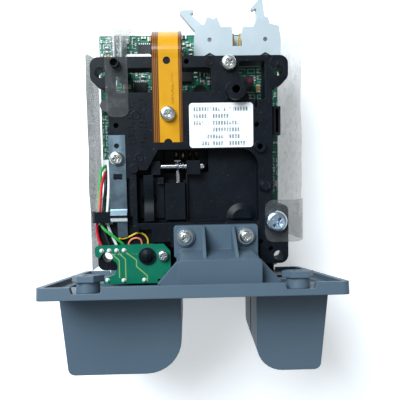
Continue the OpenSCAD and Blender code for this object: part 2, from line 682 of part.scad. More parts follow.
flex_route = smooth([[86.6, board_z + 1.4], [90.6, -8.6], [92.2, -3], [91.4, 3], [88.6, 7.2], [84.6, 9.3], [80.6, top_z + 0.2]], 4);
flex_end = [[51.7, top_z + 0.2], [49.9, 8.4], [49.7, 6]];

module head_flex() {
    color([0.9, 0.62, 0.08]) difference() {
        across(flex_x[0], flex_x[1]) polygon(strip(concat(
            [for (p = flex_route) p], [[60, top_z + 0.01], [51.2, top_z + 0.01]]), -0.24));
        translate([flex_screw_at.x, flex_screw_at.y, 5]) cylinder(d = 3.2, h = 10);
        translate([-8, 79.8, 5]) cylinder(d = 2.6, h = 10);
        translate([-8, 51, 5]) cylinder(d = 3, h = 10);
    }
}

// Clear sheet under the board, turned up at both sides, with a tab at the rear left and one at the front right.
film_left = [[-38.4, 0], [-36.7, film_z + 0.8], [-36, film_z]];
film_right = [[36, film_z], [37.2, film_z + 0.8], [42, 2]];
film_top = top_z + 0.02;
film_tab = [[41.4, 5.2], [37, film_top + film_t], [26.4, film_top + film_t]];

module insulation_film() {
    color([0.85, 0.82, 0.78, 0.4]) difference() {
        union() {
            along(3, 14.2) polygon(strip(concat(film_left, [[-30, film_z]]), film_t));
            along(14.2, 30) polygon(strip(concat(film_left, film_right, film_tab), film_t));
            along(30, 86) polygon(strip(concat(film_left, film_right), film_t));
            along(86, 96) polygon(strip(concat([[-35.5, film_z]], film_right), film_t));
            across(-29.7, -21.6)
                polygon([[94, film_z], [96.4, film_z], [95.7, -6.2], [84.9, film_top + film_t], [60.2, film_top + film_t],
                         [60.2, film_top], [84.6, film_top], [95.3, -6.3], [96, film_z + film_t], [94, film_z + film_t]]);
        }
        translate([-26.1, 78.8, 5]) cylinder(d = 3.5, h = 10);
        translate([earth_screw_at.x, earth_screw_at.y, 5]) cylinder(d = 4.3, h = 10);
        for (x = [-1, 1]) translate([x * hole_dx / 2, rear_hole_y, film_z - 2]) cylinder(d = 6.5, h = 6);
    }
}

// Small board behind the flange, with a round bite that clears the mounting screw.
module lead_board() {
    b = lead_board;
    color(board_green) difference() {
        slab(lead_board_z, lead_board_z + board_t)
            polygon(rounded([[b[0], 14.2, 1.4], [b[0], 9.9, 1.4], [-30.4, 10, 0], [-28, 8, 1.6], [-27.4, 6.4, 1.6],
                             [-28.6, 3.6, 1.6], [-32.6, 2, 0], [-32.8, b[2], 0], [-13, b[2], 0], [-13, 1.6, 0],
                             [-10.4, 1.6, 0], [-10.4, 3.6, 0], [b[1], 3.6, 0], [b[1], 11.8, 0], [-10.6, b[3], 0]]));
        translate([-10.8, 10.3, 0]) cylinder(d = 2.3, h = 20);
        translate([-16.6, 10.2, 0]) cylinder(d = 2.5, h = 20);
        translate([-hole_dx / 2, front_hole_y, 0]) cylinder(d = 4.6, h = 20);
    }
}

module lead_board_screw() {
    color(zinc) translate([-10.8, 10.3, lead_board_z + board_t]) pan_screw(4, 1.8, 2, 5);
}

module lead_board_rivet() {
    color([0.12, 0.14, 0.17]) {
        translate([-16.6, 10.2, lead_board_z + board_t]) {
            cylinder(d = 6.2, h = 0.7);
            translate([0, 0, 0.7]) cylinder(d1 = 5, d2 = 2.4, h = 1);
            translate([0, 0, 1.7]) cylinder(d1 = 1.6, d2 = 0.6, h = 0.9);
        }
        translate([-16.6, 10.2, lead_board_z - 3.6]) cylinder(d = 2.2, h = 3.7 + board_t);
    }
}

joint_places = [[-33.1, 12.4], [-30.4, 12.4], [-27.7, 12.4], [-25, 12.4], [-31.3, 1.5], [-25.4, 1.3], [-17.9, 1.3]];

module solder_joints() {
    color(steel) for (p = joint_places)
        translate([p.x, p.y, lead_board_z + board_t]) rotate_extrude()
            polygon([[0, 0], [0.85, 0], [0.55, 0.35], [0.3, 0.9], [0, 0.95]]);
}

module indicator_leds() {
    color([0.75, 0.9, 0.8]) for (x = lamp_x)
        translate([x, 1.3, lead_board_z - 2.4]) {
            cylinder(d = 2.4, h = 2.4);
            sphere(d = 2.4);
        }
}

lead_top = board_z + 5;
route_red = [[-33.4, 40.7, lead_top], [-33.4, 40.1, -4], [-33.6, 37, 0.6], [-33.6, 33, 4], [-33.6, 28.6, 6.4],
             [-33.5, 25, 6.8], [-34.3, 23.2, 6.9], [-34.9, 21.4, 6.5], [-35, 18.6, 5.6], [-34.6, 16, 5.4],
             [-33.6, 13.6, 5.4], [-33.1, 12.5, 6]];
route_black = [[-32.2, 41.9, lead_top], [-32.2, 41.4, -4.4], [-32.4, 38, -1], [-32.6, 32, 2], [-32.6, 28, 4.6],
               [-32.6, 25, 5.4], [-32.5, 20, 5.4], [-31.6, 16, 5.4], [-30.7, 13.6, 5.4], [-30.4, 12.5, 6]];
route_green = [[-33.4, 43.1, lead_top], [-33.8, 42.8, -5], [-34.8, 40.6, -3.2], [-34.8, 37, -1.4], [-34.6, 32, 2],
               [-34.2, 28, 4.6], [-34, 25, 5.4], [-33.7, 23.4, 5.5], [-33.4, 21.9, 6.3], [-32.4, 20.3, 6.9],
               [-30.6, 18.7, 6.95], [-28.3, 16.8, 6.7], [-26.2, 14.8, 5.9], [-25.1, 13.2, 5.5], [-25, 12.5, 6]];
route_white = [[-32.2, 44.3, lead_top], [-32, 43.8, -4.2], [-31.2, 40, -0.6], [-30.9, 34, 2.6], [-31, 28.6, 4.8],
               [-31.2, 25, 5.4], [-31, 21, 5.4], [-29.4, 16.8, 5.4], [-28.1, 13.8, 5.4], [-27.7, 12.5, 6]];
route_yellow = [[-27.2, 16.3, 5.15], [-25, 16.5, 6.45], [-22.6, 17.4, 6.9], [-20, 18.6, 7.3], [-17.8, 18, 7.2],
                [-16.5, 16.2, 6.8], [-16.4, 14.2, 6.45]];
route_orange = [[-23.6, 13.2, 6.45], [-23.4, 14.8, 6.5], [-22.2, 16.2, 6.7], [-20.4, 16.6, 6.8], [-19, 15.9, 6.7],
                [-18.6, 14.2, 6.45]];

module wire_red() { color([0.8, 0.08, 0.12]) tube(smooth(route_red, 4), wire_d); }
module wire_black() { color([0.03, 0.03, 0.04]) tube(smooth(route_black, 4), wire_d); }
module wire_green() { color([0.1, 0.65, 0.2]) tube(smooth(route_green, 4), wire_d); }
module wire_white() { color([0.92, 0.92, 0.92]) tube(smooth(route_white, 4), wire_d); }
module wire_yellow() { color([0.8, 0.65, 0.1]) tube(smooth(route_yellow, 5), thin_wire_d, 8, [0, 0, 1]); }
module wire_orange() { color([0.9, 0.45, 0.35]) tube(smooth(route_orange, 5), thin_wire_d, 8, [0, 0, 1]); }

// ---------- mechanism ----------

// Holder that tips in the pocket's left opening, with a round stem for the spring.
module head_holder() {
    color(chassis_black) difference() {
        union() {
            box([-19.2, 23.6, 1.2], [-10.1, 38.6, 4.6]);
            box([-12.2, 36.2, 4.5], [-10.1, 38.6, 6.4]);
            translate([-15.6, 30.5, 4.5]) cylinder(d1 = 5.6, d2 = 3.6, h = 1.4);
        }
        box([-18.6, 26.4, 0], [-10.6, 34.6, 3.4]);
    }
}

module magnetic_head() {
    color(steel) difference() {
        box([-18.5, 26.5, 0.05], [-10.7, 34.5, 3.35]);
        for (x = [-17, -14.6, -12.2]) box([x - 0.7, 30.3, -1], [x + 0.7, 30.7, 0.2]);
    }
}

// Bowed spring strip over the holder, held down by the pocket's edges.
module head_spring() {
    bow = smooth([[22.8, 7.6], [26, 7.3], [30.5, 6.2], [35, 7.3], [39.6, 7.6]], 4);
    color(steel) across(-17.4, -13.8) polygon(strip(bow, 0.25));
}

module solenoid_frame() {
    x = plunger_at.x;
    color([0.1, 0.11, 0.13]) difference() {
        box([x - 4.8, 23, 1.4], [x + 2.6, 36.6, 5.8]);
        box([x - 4.2, 24.2, 1.7], [x + 3, 35.4, 5.2]);
        translate([x, 38, plunger_at[1]]) rotate([90, 0, 0]) cylinder(d = 2.2, h = 4);
    }
}

module solenoid_coil() {
    color([0.55, 0.25, 0.12]) translate([plunger_at.x, 35.3, plunger_at[1]]) rotate([90, 0, 0]) difference() {
        cylinder(d = 2.6, h = 11);
        translate([0, 0, -1]) cylinder(d = 2.1, h = 13);
    }
}

// Plunger with a thin neck that passes through the lever, and a cross bar behind it.
module solenoid_plunger() {
    color(steel) translate([plunger_at.x, 44.83, plunger_at[1]]) rotate([90, 0, 0]) {
        translate([-1.1, -0.55, 0]) cube([2.2, 1.1, 0.45]);
        cylinder(d = 1, h = 6);
        translate([0, 0, 4.2]) cylinder(d = 2, h = 14);
    }
}

module lock_shaft() {
    color(steel) difference() {
        translate([-14.4, lever_pivot[0], lever_pivot[1]]) rotate([0, 90, 0]) union() {
            cylinder(d = shaft_d, h = 17.8);
            translate([0, 0, 17.8]) cylinder(d = 3, h = 0.8);
            translate([0, 0, 18.4]) sphere(d = 2.6);
        }
        translate([-3.2, lever_pivot[0], lever_pivot[1]]) rotate([0, 90, 0]) washer(3, 1.5, 0.4);
    }
}

module shaft_ring() {
    color(steel) translate([-3.15, lever_pivot[0], lever_pivot[1]]) rotate([0, 90, 0]) difference() {
        cylinder(d = 3.2, h = 0.3);
        translate([0, 0, -1]) cylinder(d = 1.55, h = 2);
        translate([-0.6, 0, -1]) cube([1.2, 3, 2]);
    }
}

// Lever under the shaft: a narrow hub, and a leaf whose lower edge comes down on the card.
module lock_lever() {
    r = 4.6;
    x = plunger_at.x;
    color([0.5, 0.51, 0.53]) translate([x, lever_pivot[0], lever_pivot[1]]) rotate([lever_lean, 0, 0]) difference() {
        union() {
            rotate([0, 90, 0]) cylinder(d = 2.8, h = 0.8, center = true);
            box([-0.4, -0.25, -1.6], [0.4, 0.25, 0]);
            box([-1.6, -0.25, -r], [1.6, 0.25, -1.1]);
        }
        rotate([0, 90, 0]) cylinder(d = shaft_d + 0.06, h = 10, center = true);
        box([-0.75, -1, -3.3], [0.75, 1, -1.35]);
    }
}

module pressure_roller() {
    color([0.1, 0.1, 0.1]) translate([-19.6, roller_at.y, roller_at.z]) rotate([0, 90, 0]) difference() {
        cylinder(d = roller_d, h = 10);
        translate([0, 0, -1]) cylinder(d = shaft_d + 0.06, h = 12);
    }
}

module roller_axle() {
    color(steel) translate([-22.3, roller_at.y, roller_at.z]) rotate([0, 90, 0]) cylinder(d = shaft_d - 0.04, h = 15.4);
}

contact_xs = [for (i = [-1.5:1:1.5]) chip_x + i * contact_pitch];

// Carriage under the card that the card's front edge pushes back, with two rows of spring contacts.
module contact_carriage() {
    color([0.16, 0.17, 0.19]) difference() {
        union() {
            box([-10, 43, -7.4], [9.2, 59, -1.4]);
            // tongue and the stop that the card's front edge meets
            box([8.6, 56, -6.4], [12.4, stop_y + 1.6, -1.4]);
            box([8.6, stop_y, -1.5], [12.4, stop_y + 1.6, 0.7]);
        }
        for (x = contact_xs, y = [contact_y, contact_y + row_gap])
            box([x - 0.6, y - 2.8, -5.4], [x + 0.6, y + 1.2, 0]);
        for (x = [-7.8, 7]) box([x - 1.6, 56, -6.2], [x + 1.6, 60, -2.6]);
    }
}

module contact_springs() {
    arm = [[-2.4, -4.6], [-1.8, -2.4], [-0.8, -0.5], [0, 0], [0.7, -0.9]];
    color(gold) for (x = contact_xs, y = [contact_y, contact_y + row_gap])
        across(x - 0.35, x + 0.35) polygon(strip([for (p = arm) [y + p.x, p.y]], 0.2));
}

module carriage_springs() {
    color(steel) for (x = [-7.8, 7]) coil([x, -4.4], 56.3, 64.3, 2.4, 0.4, 5);
}

module card_sensors() {
    color(part_black) for (x = [-23, 13]) box([x - 2, 7, -7.4], [x + 2, 12, -2.5]);
}

bezel();
left_lobe();
right_lobe();
panel_bosses();
bezel_screws();
bezel_washers();
upper_chassis();
lower_chassis();
cable_hook();
chassis_screws();
rear_screw();
flex_screw();
leaf_screw();
earth_screw();
side_leaf();
label();
main_board();
main_board_screws();
processor_chip();
driver_chips();
can_capacitors();
crystal_can();
small_components();
edge_socket();
power_socket();
harness_socket();
flex_socket();
header_housing();
header_pins();
latch_pins();
left_latch();
right_latch();
head_flex();
insulation_film();
lead_board();
lead_board_screw();
lead_board_rivet();
solder_joints();
indicator_leds();
wire_red();
wire_black();
wire_green();
wire_white();
wire_yellow();
wire_orange();
head_holder();
magnetic_head();
head_spring();
solenoid_frame();
solenoid_coil();
solenoid_plunger();
lock_shaft();
shaft_ring();
lock_lever();
pressure_roller();
roller_axle();
contact_carriage();
contact_springs();
carriage_springs();
card_sensors();
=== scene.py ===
"""Card reader unit with a twin-lobed bezel: its finishes, small pieces and stage, built round the frame."""

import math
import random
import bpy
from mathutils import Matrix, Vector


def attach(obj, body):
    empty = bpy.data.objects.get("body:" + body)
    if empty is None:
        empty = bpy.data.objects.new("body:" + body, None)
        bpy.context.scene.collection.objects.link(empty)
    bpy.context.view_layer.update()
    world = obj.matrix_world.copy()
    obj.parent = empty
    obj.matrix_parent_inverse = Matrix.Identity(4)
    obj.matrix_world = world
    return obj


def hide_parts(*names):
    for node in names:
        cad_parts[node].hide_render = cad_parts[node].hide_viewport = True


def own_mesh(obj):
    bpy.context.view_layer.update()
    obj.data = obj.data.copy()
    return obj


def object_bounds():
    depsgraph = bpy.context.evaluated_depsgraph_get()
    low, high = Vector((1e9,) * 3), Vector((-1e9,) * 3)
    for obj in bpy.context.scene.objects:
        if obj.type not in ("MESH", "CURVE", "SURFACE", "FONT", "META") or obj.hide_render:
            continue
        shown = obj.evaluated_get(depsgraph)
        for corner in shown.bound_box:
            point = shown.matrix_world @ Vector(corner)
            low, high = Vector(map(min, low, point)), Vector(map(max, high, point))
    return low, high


bl_info = {
    "name": "Card Reader Unit",
    "version": (1, 0, 0),
    "blender": (4, 5, 0),
    "location": "3D View > Sidebar > Card Reader",
    "description": "Builds the finishes, fasteners, leads and film of a card reader unit round its frame",
    "category": "Object",
}

import bpy
from mathutils import Vector, noise

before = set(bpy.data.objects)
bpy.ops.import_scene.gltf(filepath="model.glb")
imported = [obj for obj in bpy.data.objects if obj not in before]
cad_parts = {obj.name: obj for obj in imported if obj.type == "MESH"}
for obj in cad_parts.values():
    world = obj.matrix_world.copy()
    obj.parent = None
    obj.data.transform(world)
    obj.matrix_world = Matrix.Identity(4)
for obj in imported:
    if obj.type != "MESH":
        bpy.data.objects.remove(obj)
CAD_LOW, CAD_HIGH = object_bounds()
MM = 0.001


# ---------------------------------------------------------------- finishes


class Socket:
    """One output of a shader node, used in plain arithmetic."""

    def __init__(self, finish, socket):
        self.finish = finish
        self.socket = socket

    def maths(self, operation, first, second=None, clamp=False):
        values = {0: first} if second is None else {0: first, 1: second}
        return self.finish.node("ShaderNodeMath", {"operation": operation, "use_clamp": clamp}, values)

    def __add__(self, other):
        return self.maths("ADD", self, other)

    def __radd__(self, other):
        return self.maths("ADD", other, self)

    def __sub__(self, other):
        return self.maths("SUBTRACT", self, other)

    def __rsub__(self, other):
        return self.maths("SUBTRACT", other, self)

    def __mul__(self, other):
        return self.maths("MULTIPLY", self, other)

    def __rmul__(self, other):
        return self.maths("MULTIPLY", other, self)

    def __truediv__(self, other):
        return self.maths("DIVIDE", self, other)

    def __rtruediv__(self, other):
        return self.maths("DIVIDE", other, self)

    def __mod__(self, other):
        return self.maths("FLOORED_MODULO", self, other)

    def __abs__(self):
        return self.maths("ABSOLUTE", self)

    def at_least(self, other):
        return self.maths("MAXIMUM", self, other)

    def at_most(self, other):
        return self.maths("MINIMUM", self, other)

    def clamped(self):
        return self.maths("ADD", self, 0.0, clamp=True)

    def above(self, edge, blur=0.05):
        """1 where the value is over edge and 0 where it is under, blurred over a short way."""
        return ((self - (edge - blur)) / (2 * blur)).clamped()

    def below(self, edge, blur=0.05):
        return 1 - self.above(edge, blur)

    def within(self, low, high, blur=0.05):
        return self.above(low, blur) * self.below(high, blur)


class Finish:
    """A material made of nodes, with its surface worked out from the place on the object in millimetres."""

    def __init__(self, name):
        self.material = bpy.data.materials.new(name)
        self.material.use_nodes = True
        self.tree = self.material.node_tree
        self.tree.nodes.clear()
        self._place = None

    def node(self, kind, settings=None, sockets=None, out=0):
        made = self.tree.nodes.new(kind)
        for key, value in (settings or {}).items():
            if key == "stops":
                ramp = made.color_ramp
                while len(ramp.elements) < len(value):
                    ramp.elements.new(0.5)
                for element, (position, colour) in zip(ramp.elements, value):
                    element.position = position
                    element.color = (*colour, 1)
            else:
                setattr(made, key, value)
        for key, value in (sockets or {}).items():
            self.feed(made.inputs[key], value)
        return Socket(self, made.outputs[out]) if made.outputs else None

    def feed(self, socket, value):
        if isinstance(value, Socket):
            self.tree.links.new(value.socket, socket)
        elif isinstance(value, (tuple, list)) and len(value) == 3 and socket.type == "RGBA":
            socket.default_value = (*value, 1)
        else:
            socket.default_value = value

    def place(self):
        """The place on the object, in millimetres."""
        if self._place is None:
            where = self.node("ShaderNodeTexCoord", out="Object")
            self._place = self.node(
                "ShaderNodeVectorMath", {"operation": "SCALE"}, {0: where, "Scale": 1 / MM})
        return self._place

    def axes(self):
        """The place's x, y and z, in millimetres."""
        split = self.node("ShaderNodeSeparateXYZ", sockets={0: self.place()})
        outs = split.socket.node.outputs
        return [Socket(self, outs[i]) for i in range(3)]

    def stretched(self, x, y, z):
        return self.node("ShaderNodeVectorMath", {"operation": "MULTIPLY"}, {0: self.place(), 1: (x, y, z)})

    def noise(self, scale, detail=3.0, rough=0.5, vector=None, turn=0.0):
        return self.node("ShaderNodeTexNoise", {"noise_dimensions": "4D"},
                         {"Vector": vector or self.place(), "W": turn, "Scale": scale, "Detail": detail,
                          "Roughness": rough})

    def cells(self, scale, feature="F1", spread=1.0, out="Distance"):
        return self.node("ShaderNodeTexVoronoi", {"feature": feature},
                         {"Vector": self.place(), "Scale": scale, "Randomness": spread}, out)

    def mix(self, share, first, second):
        made = self.tree.nodes.new("ShaderNodeMix")
        made.data_type = "RGBA"
        made.clamp_factor = True
        self.feed(made.inputs[0], share)
        self.feed(made.inputs[6], first)
        self.feed(made.inputs[7], second)
        return Socket(self, made.outputs[2])

    def bumps(self, height, depth_mm, strength=1.0, rounded_mm=0.0):
        sockets = {"Height": height, "Distance": depth_mm * MM, "Strength": strength}
        if rounded_mm:
            sockets["Normal"] = self.rounded(rounded_mm)
        return self.node("ShaderNodeBump", sockets=sockets)

    def rounded(self, radius_mm):
        """Normals that roll over the edges, as a moulding's small radii do."""
        return self.node("ShaderNodeBevel", {"samples": 6}, {"Radius": radius_mm * MM})

    def surface(self, **sockets):
        names = {"colour": "Base Color", "roughness": "Roughness", "metal": "Metallic", "coat": "Coat Weight",
                 "coat_roughness": "Coat Roughness", "alpha": "Alpha", "normal": "Normal",
                 "gloss": "Specular IOR Level", "see_through": "Transmission Weight", "ior": "IOR",
                 "glow": "Emission Color",
                 "glow_strength": "Emission Strength", "sheen": "Sheen Weight"}
        shader = self.node("ShaderNodeBsdfPrincipled", sockets={names[k]: v for k, v in sockets.items()})
        self.node("ShaderNodeOutputMaterial", sockets={"Surface": shader})
        return self.material


def tones(name, dark, light):
    """A darker and a lighter tone of one of the panel's colours."""
    colour = getattr(bpy.context.scene.cardreader_colours, name)
    return tuple(c * dark for c in colour), tuple(c * light for c in colour)


def slate_moulding():
    f = Finish("slate_moulding")
    cloud = f.noise(0.05, 3)
    grain = f.noise(4.5, 4, 0.6)
    colour = f.mix(cloud, *tones("bezel", 0.9, 1.1))
    colour = f.mix((grain - 0.45) * 0.5, colour, (0.12, 0.18, 0.23))
    return f.surface(colour=colour, roughness=0.4 + 0.16 * grain, gloss=0.4,
                     normal=f.bumps(grain, 0.03, 0.35, rounded_mm=0.45))


def black_moulding(name="black_moulding", rounded_mm=0.25):
    f = Finish(name)
    cloud = f.noise(0.12, 4)
    grain = f.noise(5.0, 4, 0.6)
    dust = f.noise(2.4, 2, 0.4, turn=3.0).above(0.73, 0.015)
    rubbed = f.noise(0.35, 5, 0.7, turn=7.0).above(0.6, 0.14)
    colour = f.mix(cloud, *tones("chassis", 0.5, 1.4))
    colour = f.mix(rubbed * 0.25, colour, (0.012, 0.02, 0.03))
    colour = f.mix(dust * 0.45, colour, (0.16, 0.2, 0.23))
    return f.surface(colour=colour, roughness=0.25 + 0.2 * cloud + 0.08 * grain, gloss=0.17,
                     normal=f.bumps(grain + dust * 0.6, 0.025, 0.4, rounded_mm=rounded_mm))


def zinc_plate(name="zinc_plate", dark=(0.62, 0.66, 0.66), light=(0.86, 0.9, 0.9), stain=(0.75, 0.68, 0.42)):
    f = Finish(name)
    cloud = f.noise(0.9, 3)
    fine = f.noise(9.0, 3, 0.6)
    colour = f.mix(cloud, dark, light)
    colour = f.mix(f.noise(0.5, 2, turn=4.0).above(0.58, 0.1) * 0.35, colour, stain)
    return f.surface(colour=colour, roughness=0.2 + 0.16 * fine, metal=1.0,
                     normal=f.bumps(fine, 0.01, 0.4, rounded_mm=0.12))


def strip_steel(name="strip_steel", dark=0.2, along=(1.0, 0.06, 1.0)):
    f = Finish(name)
    lines = f.noise(7.0, 4, 0.6, vector=f.stretched(*along))
    cloud = f.noise(0.3, 3, turn=2.0)
    colour = f.mix(lines, (dark * 0.7, dark * 0.8, dark * 0.9), (dark * 1.2, dark * 1.35, dark * 1.5))
    return f.surface(colour=colour, roughness=0.26 + 0.14 * cloud + 0.1 * lines, metal=1.0,
                     normal=f.bumps(lines, 0.008, 0.3, rounded_mm=0.08))


def leaf_steel():
    """Bluish strip steel, with a painted highlight where it steps down to its tongue and painted shade on the
    band just behind it.
    """
    f = Finish("leaf_steel")
    _, y, _ = f.axes()
    lines = f.noise(7.0, 4, 0.6, vector=f.stretched(1.0, 0.06, 1.0))
    cloud = f.noise(0.3, 3, turn=2.0)
    # step is a painted highlight, near white and less metallic, standing in for a reflection; shade is
    # painted shade
    step = y.within(22.8, 24.4, 0.12)
    shade = y.within(24.4, 27.2, 0.25)
    colour = f.mix(lines, (0.1, 0.145, 0.18), (0.17, 0.235, 0.285))
    colour = f.mix(cloud.above(0.52, 0.1) * 0.5, colour, (0.24, 0.32, 0.38))
    colour = f.mix(shade * 0.75, colour, (0.04, 0.05, 0.06))
    colour = f.mix(step * 0.95, colour, (0.9, 0.93, 0.95))
    return f.surface(colour=colour, roughness=0.26 + 0.14 * cloud + 0.1 * lines, metal=1 - step * 0.7,
                     normal=f.bumps(lines, 0.008, 0.3, rounded_mm=0.08))


def polished_steel():
    f = Finish("polished_steel")
    turned = f.noise(8.0, 2, 0.5, vector=f.stretched(1.0, 0.2, 0.2))
    return f.surface(colour=f.mix(turned, (0.62, 0.63, 0.64), (0.8, 0.81, 0.82)),
                     roughness=0.16 + 0.1 * turned, metal=1.0,
                     normal=f.bumps(turned, 0.004, 0.3, rounded_mm=0.06))


def solder_mask():
    """Green lacquer over copper: tracks show paler under it, with drilled dots, pads and white outlines."""
    f = Finish("solder_mask")
    x, y, _ = f.axes()
    cloud = f.noise(0.25, 3)
    region = f.cells(0.16, spread=0.9, out="Color")
    pick = f.node("ShaderNodeSeparateColor", sockets={0: region})
    across = abs((x % 1.27) - 0.635).below(0.17, 0.04)
    up = abs((y % 1.27) - 0.635).below(0.17, 0.04)
    tracks = (across * pick.above(0.55, 0.01) + up * pick.below(0.35, 0.01)).clamped()
    dots = f.cells(0.42, spread=0.75).below(0.2, 0.03)
    frame_x, frame_y = abs((x % 3.81) - 1.905), abs((y % 2.54) - 1.27)
    inside = frame_x.below(1.25, 0.03) * frame_y.below(0.65, 0.03)
    outline = frame_x.below(1.45, 0.03) * frame_y.below(0.85, 0.03) * (1 - inside)
    outline = outline * f.noise(0.3, 1, turn=9.0).above(0.5, 0.01)
    colour = f.mix(cloud, (0.003, 0.10, 0.06), (0.008, 0.17, 0.105))
    colour = f.mix(tracks * 0.5, colour, (0.03, 0.29, 0.17))
    colour = f.mix(dots * 0.8, colour, (0.55, 0.62, 0.55))
    colour = f.mix(outline * 0.85, colour, (0.72, 0.8, 0.78))
    return f.surface(colour=colour, roughness=0.24 + 0.12 * cloud, coat=0.15, gloss=0.45,
                     normal=f.bumps(tracks + dots, 0.03, 0.6))


def lead_board_mask():
    """The small board's lacquer, with its few wide tracks drawn from the soldered holes to the lamps."""
    f = Finish("lead_board_mask")
    x, y, _ = f.axes()
    cloud = f.noise(0.4, 3)
    tracks = None
    runs = [((-30.4, 12.0), (-26.9, 8.8)), ((-26.9, 8.8), (-26.9, 2.4)), ((-27.7, 12.2), (-24.6, 9.2)),
            ((-24.6, 9.2), (-24.6, 1.6)), ((-25, 12.2), (-20.6, 8.8)), ((-20.6, 8.8), (-20.6, 6.4)),
            ((-20.6, 6.4), (-16.8, 2.9)), ((-16.8, 2.9), (-16.8, 1.0)), ((-33.1, 12.2), (-31.9, 10.9))]
    for (ax, ay), (bx, by) in runs:
        length = math.hypot(bx - ax, by - ay)
        ux, uy = (bx - ax) / length, (by - ay) / length
        along = (x - ax) * ux + (y - ay) * uy
        aside = abs((y - ay) * ux - (x - ax) * uy)
        line = aside.below(0.19, 0.06) * along.within(-0.1, length + 0.1, 0.06)
        tracks = line if tracks is None else tracks.at_least(line)
    print_row = x.within(-33.5, -11, 0.1) * y.within(10.9, 11.2, 0.05)
    print_marks = print_row * f.noise(1.2, 1, turn=4.0).above(0.56, 0.05)
    colour = f.mix(cloud, *tones("small_board", 0.86, 1.14))
    colour = f.mix(tracks * 0.8, colour, (0.3, 0.42, 0.12))
    colour = f.mix(print_marks * 0.5, colour, (0.6, 0.65, 0.62))
    return f.surface(colour=colour, roughness=0.26 + 0.14 * cloud, gloss=0.3,
                     normal=f.bumps(tracks, 0.03, 0.6))


def plain_moulding(name, dark, light, roughness=0.4, rounded_mm=0.15, depth_mm=0.015, scale=5.0):
    f = Finish(name)
    grain = f.noise(scale, 3, 0.6)
    cloud = f.noise(0.2, 3, turn=5.0)
    return f.surface(colour=f.mix(cloud, dark, light), roughness=roughness + 0.12 * grain,
                     normal=f.bumps(grain, depth_mm, 0.35, rounded_mm=rounded_mm))


def header_moulding():
    """Pale grey moulding, with painted shade where its relief panels lie low."""
    f = Finish("header_moulding")
    _, y, z = f.axes()
    grain = f.noise(5.0, 3, 0.6)
    cloud = f.noise(0.2, 3, turn=5.0)
    # low marks the recessed panels, which get painted shade, near black
    low = z.below(-3.3, 0.1) * z.above(-4.2, 0.1) * y.below(86.6, 0.1) * y.above(81.7, 0.05)
    colour = f.mix(cloud, *tones("header", 0.91, 1.08))
    colour = f.mix(low * 0.92, colour, (0.035, 0.045, 0.055))
    return f.surface(colour=colour, roughness=0.4 + 0.12 * grain,
                     normal=f.bumps(grain, 0.015, 0.35, rounded_mm=0.2))


def gold_plate():
    f = Finish("gold_plate")
    rub = f.noise(4.0, 3)
    return f.surface(colour=f.mix(rub, (0.78, 0.5, 0.16), (0.95, 0.72, 0.32)),
                     roughness=0.2 + 0.14 * rub, metal=1.0,
                     normal=f.bumps(rub, 0.006, 0.3))


def flex_amber():
    """Polyimide over copper: amber, with brown bands where the lacquer lies on tracks at both edges."""
    f = Finish("flex_amber")
    x, y, _ = f.axes()
    cloud = f.noise(0.2, 4)
    left = x.within(-13.4, -10.9, 0.12)
    right = x.within(-3.9, -2.5, 0.12)
    tracks = abs((x % 0.62) - 0.31).below(0.12, 0.05)
    edges = left.at_least(right)
    colour = f.mix(cloud, *tones("flex", 0.82, 1.18))
    colour = f.mix(f.noise(0.09, 2, turn=2.0).above(0.5, 0.16) * 0.35, colour, (0.78, 0.42, 0.02))
    dark = f.mix(tracks, (0.09, 0.026, 0.004), (0.3, 0.115, 0.012))
    colour = f.mix(edges, colour, dark)
    rim = x.below(-13.0, 0.08).at_least(x.above(-2.9, 0.08))
    colour = f.mix(rim * 0.8, colour, (0.05, 0.014, 0.003))
    print_row = x.within(-6.6, -5.6, 0.1) * y.within(64.5, 75.5, 0.1)
    marks = print_row * f.noise(1.9, 1, vector=f.stretched(0.6, 2.0, 1)).above(0.5, 0.05)
    colour = f.mix(marks * 0.6, colour, (0.25, 0.1, 0.01))
    return f.surface(colour=colour, roughness=0.2 + 0.1 * cloud, coat=0.2, coat_roughness=0.08, gloss=0.4,
                     normal=f.bumps(tracks * edges + cloud * 2, 0.03, 0.5))


def printed_label():
    """White coated paper with rows of plain grey bars where the print would be."""
    f = Finish("printed_label")
    x, y, _ = f.axes()
    fibre = f.noise(1.2, 4)
    rows = None
    for middle, low, high in [(62.7, 1.2, 20.6), (60.25, 1.2, 14.4), (57.85, 1.0, 19.6), (55.4, 7.4, 19.6),
                              (53.0, 5.4, 17.6), (50.6, 3.6, 19.8)]:
        row = y.within(middle - 0.72, middle + 0.72, 0.1) * x.within(low, high, 0.1)
        rows = row if rows is None else rows.at_least(row)
    bars = abs((x % 0.98) - 0.49).below(0.33, 0.07)
    words = f.noise(0.42, 1, 0.3, vector=f.stretched(1.0, 0.42, 1.0), turn=6.0).above(0.43, 0.03)
    inside = f.noise(1.4, 1, 0.3, turn=9.0).above(0.4, 0.08)
    ink = rows * bars * words * (0.45 + 0.55 * inside)
    colour = f.mix(ink * 0.85, f.mix(fibre, *tones("label", 0.97, 1.03)), (0.07, 0.08, 0.09))
    return f.surface(colour=colour, roughness=0.36 + 0.1 * fibre, normal=f.bumps(fibre, 0.01, 0.2))


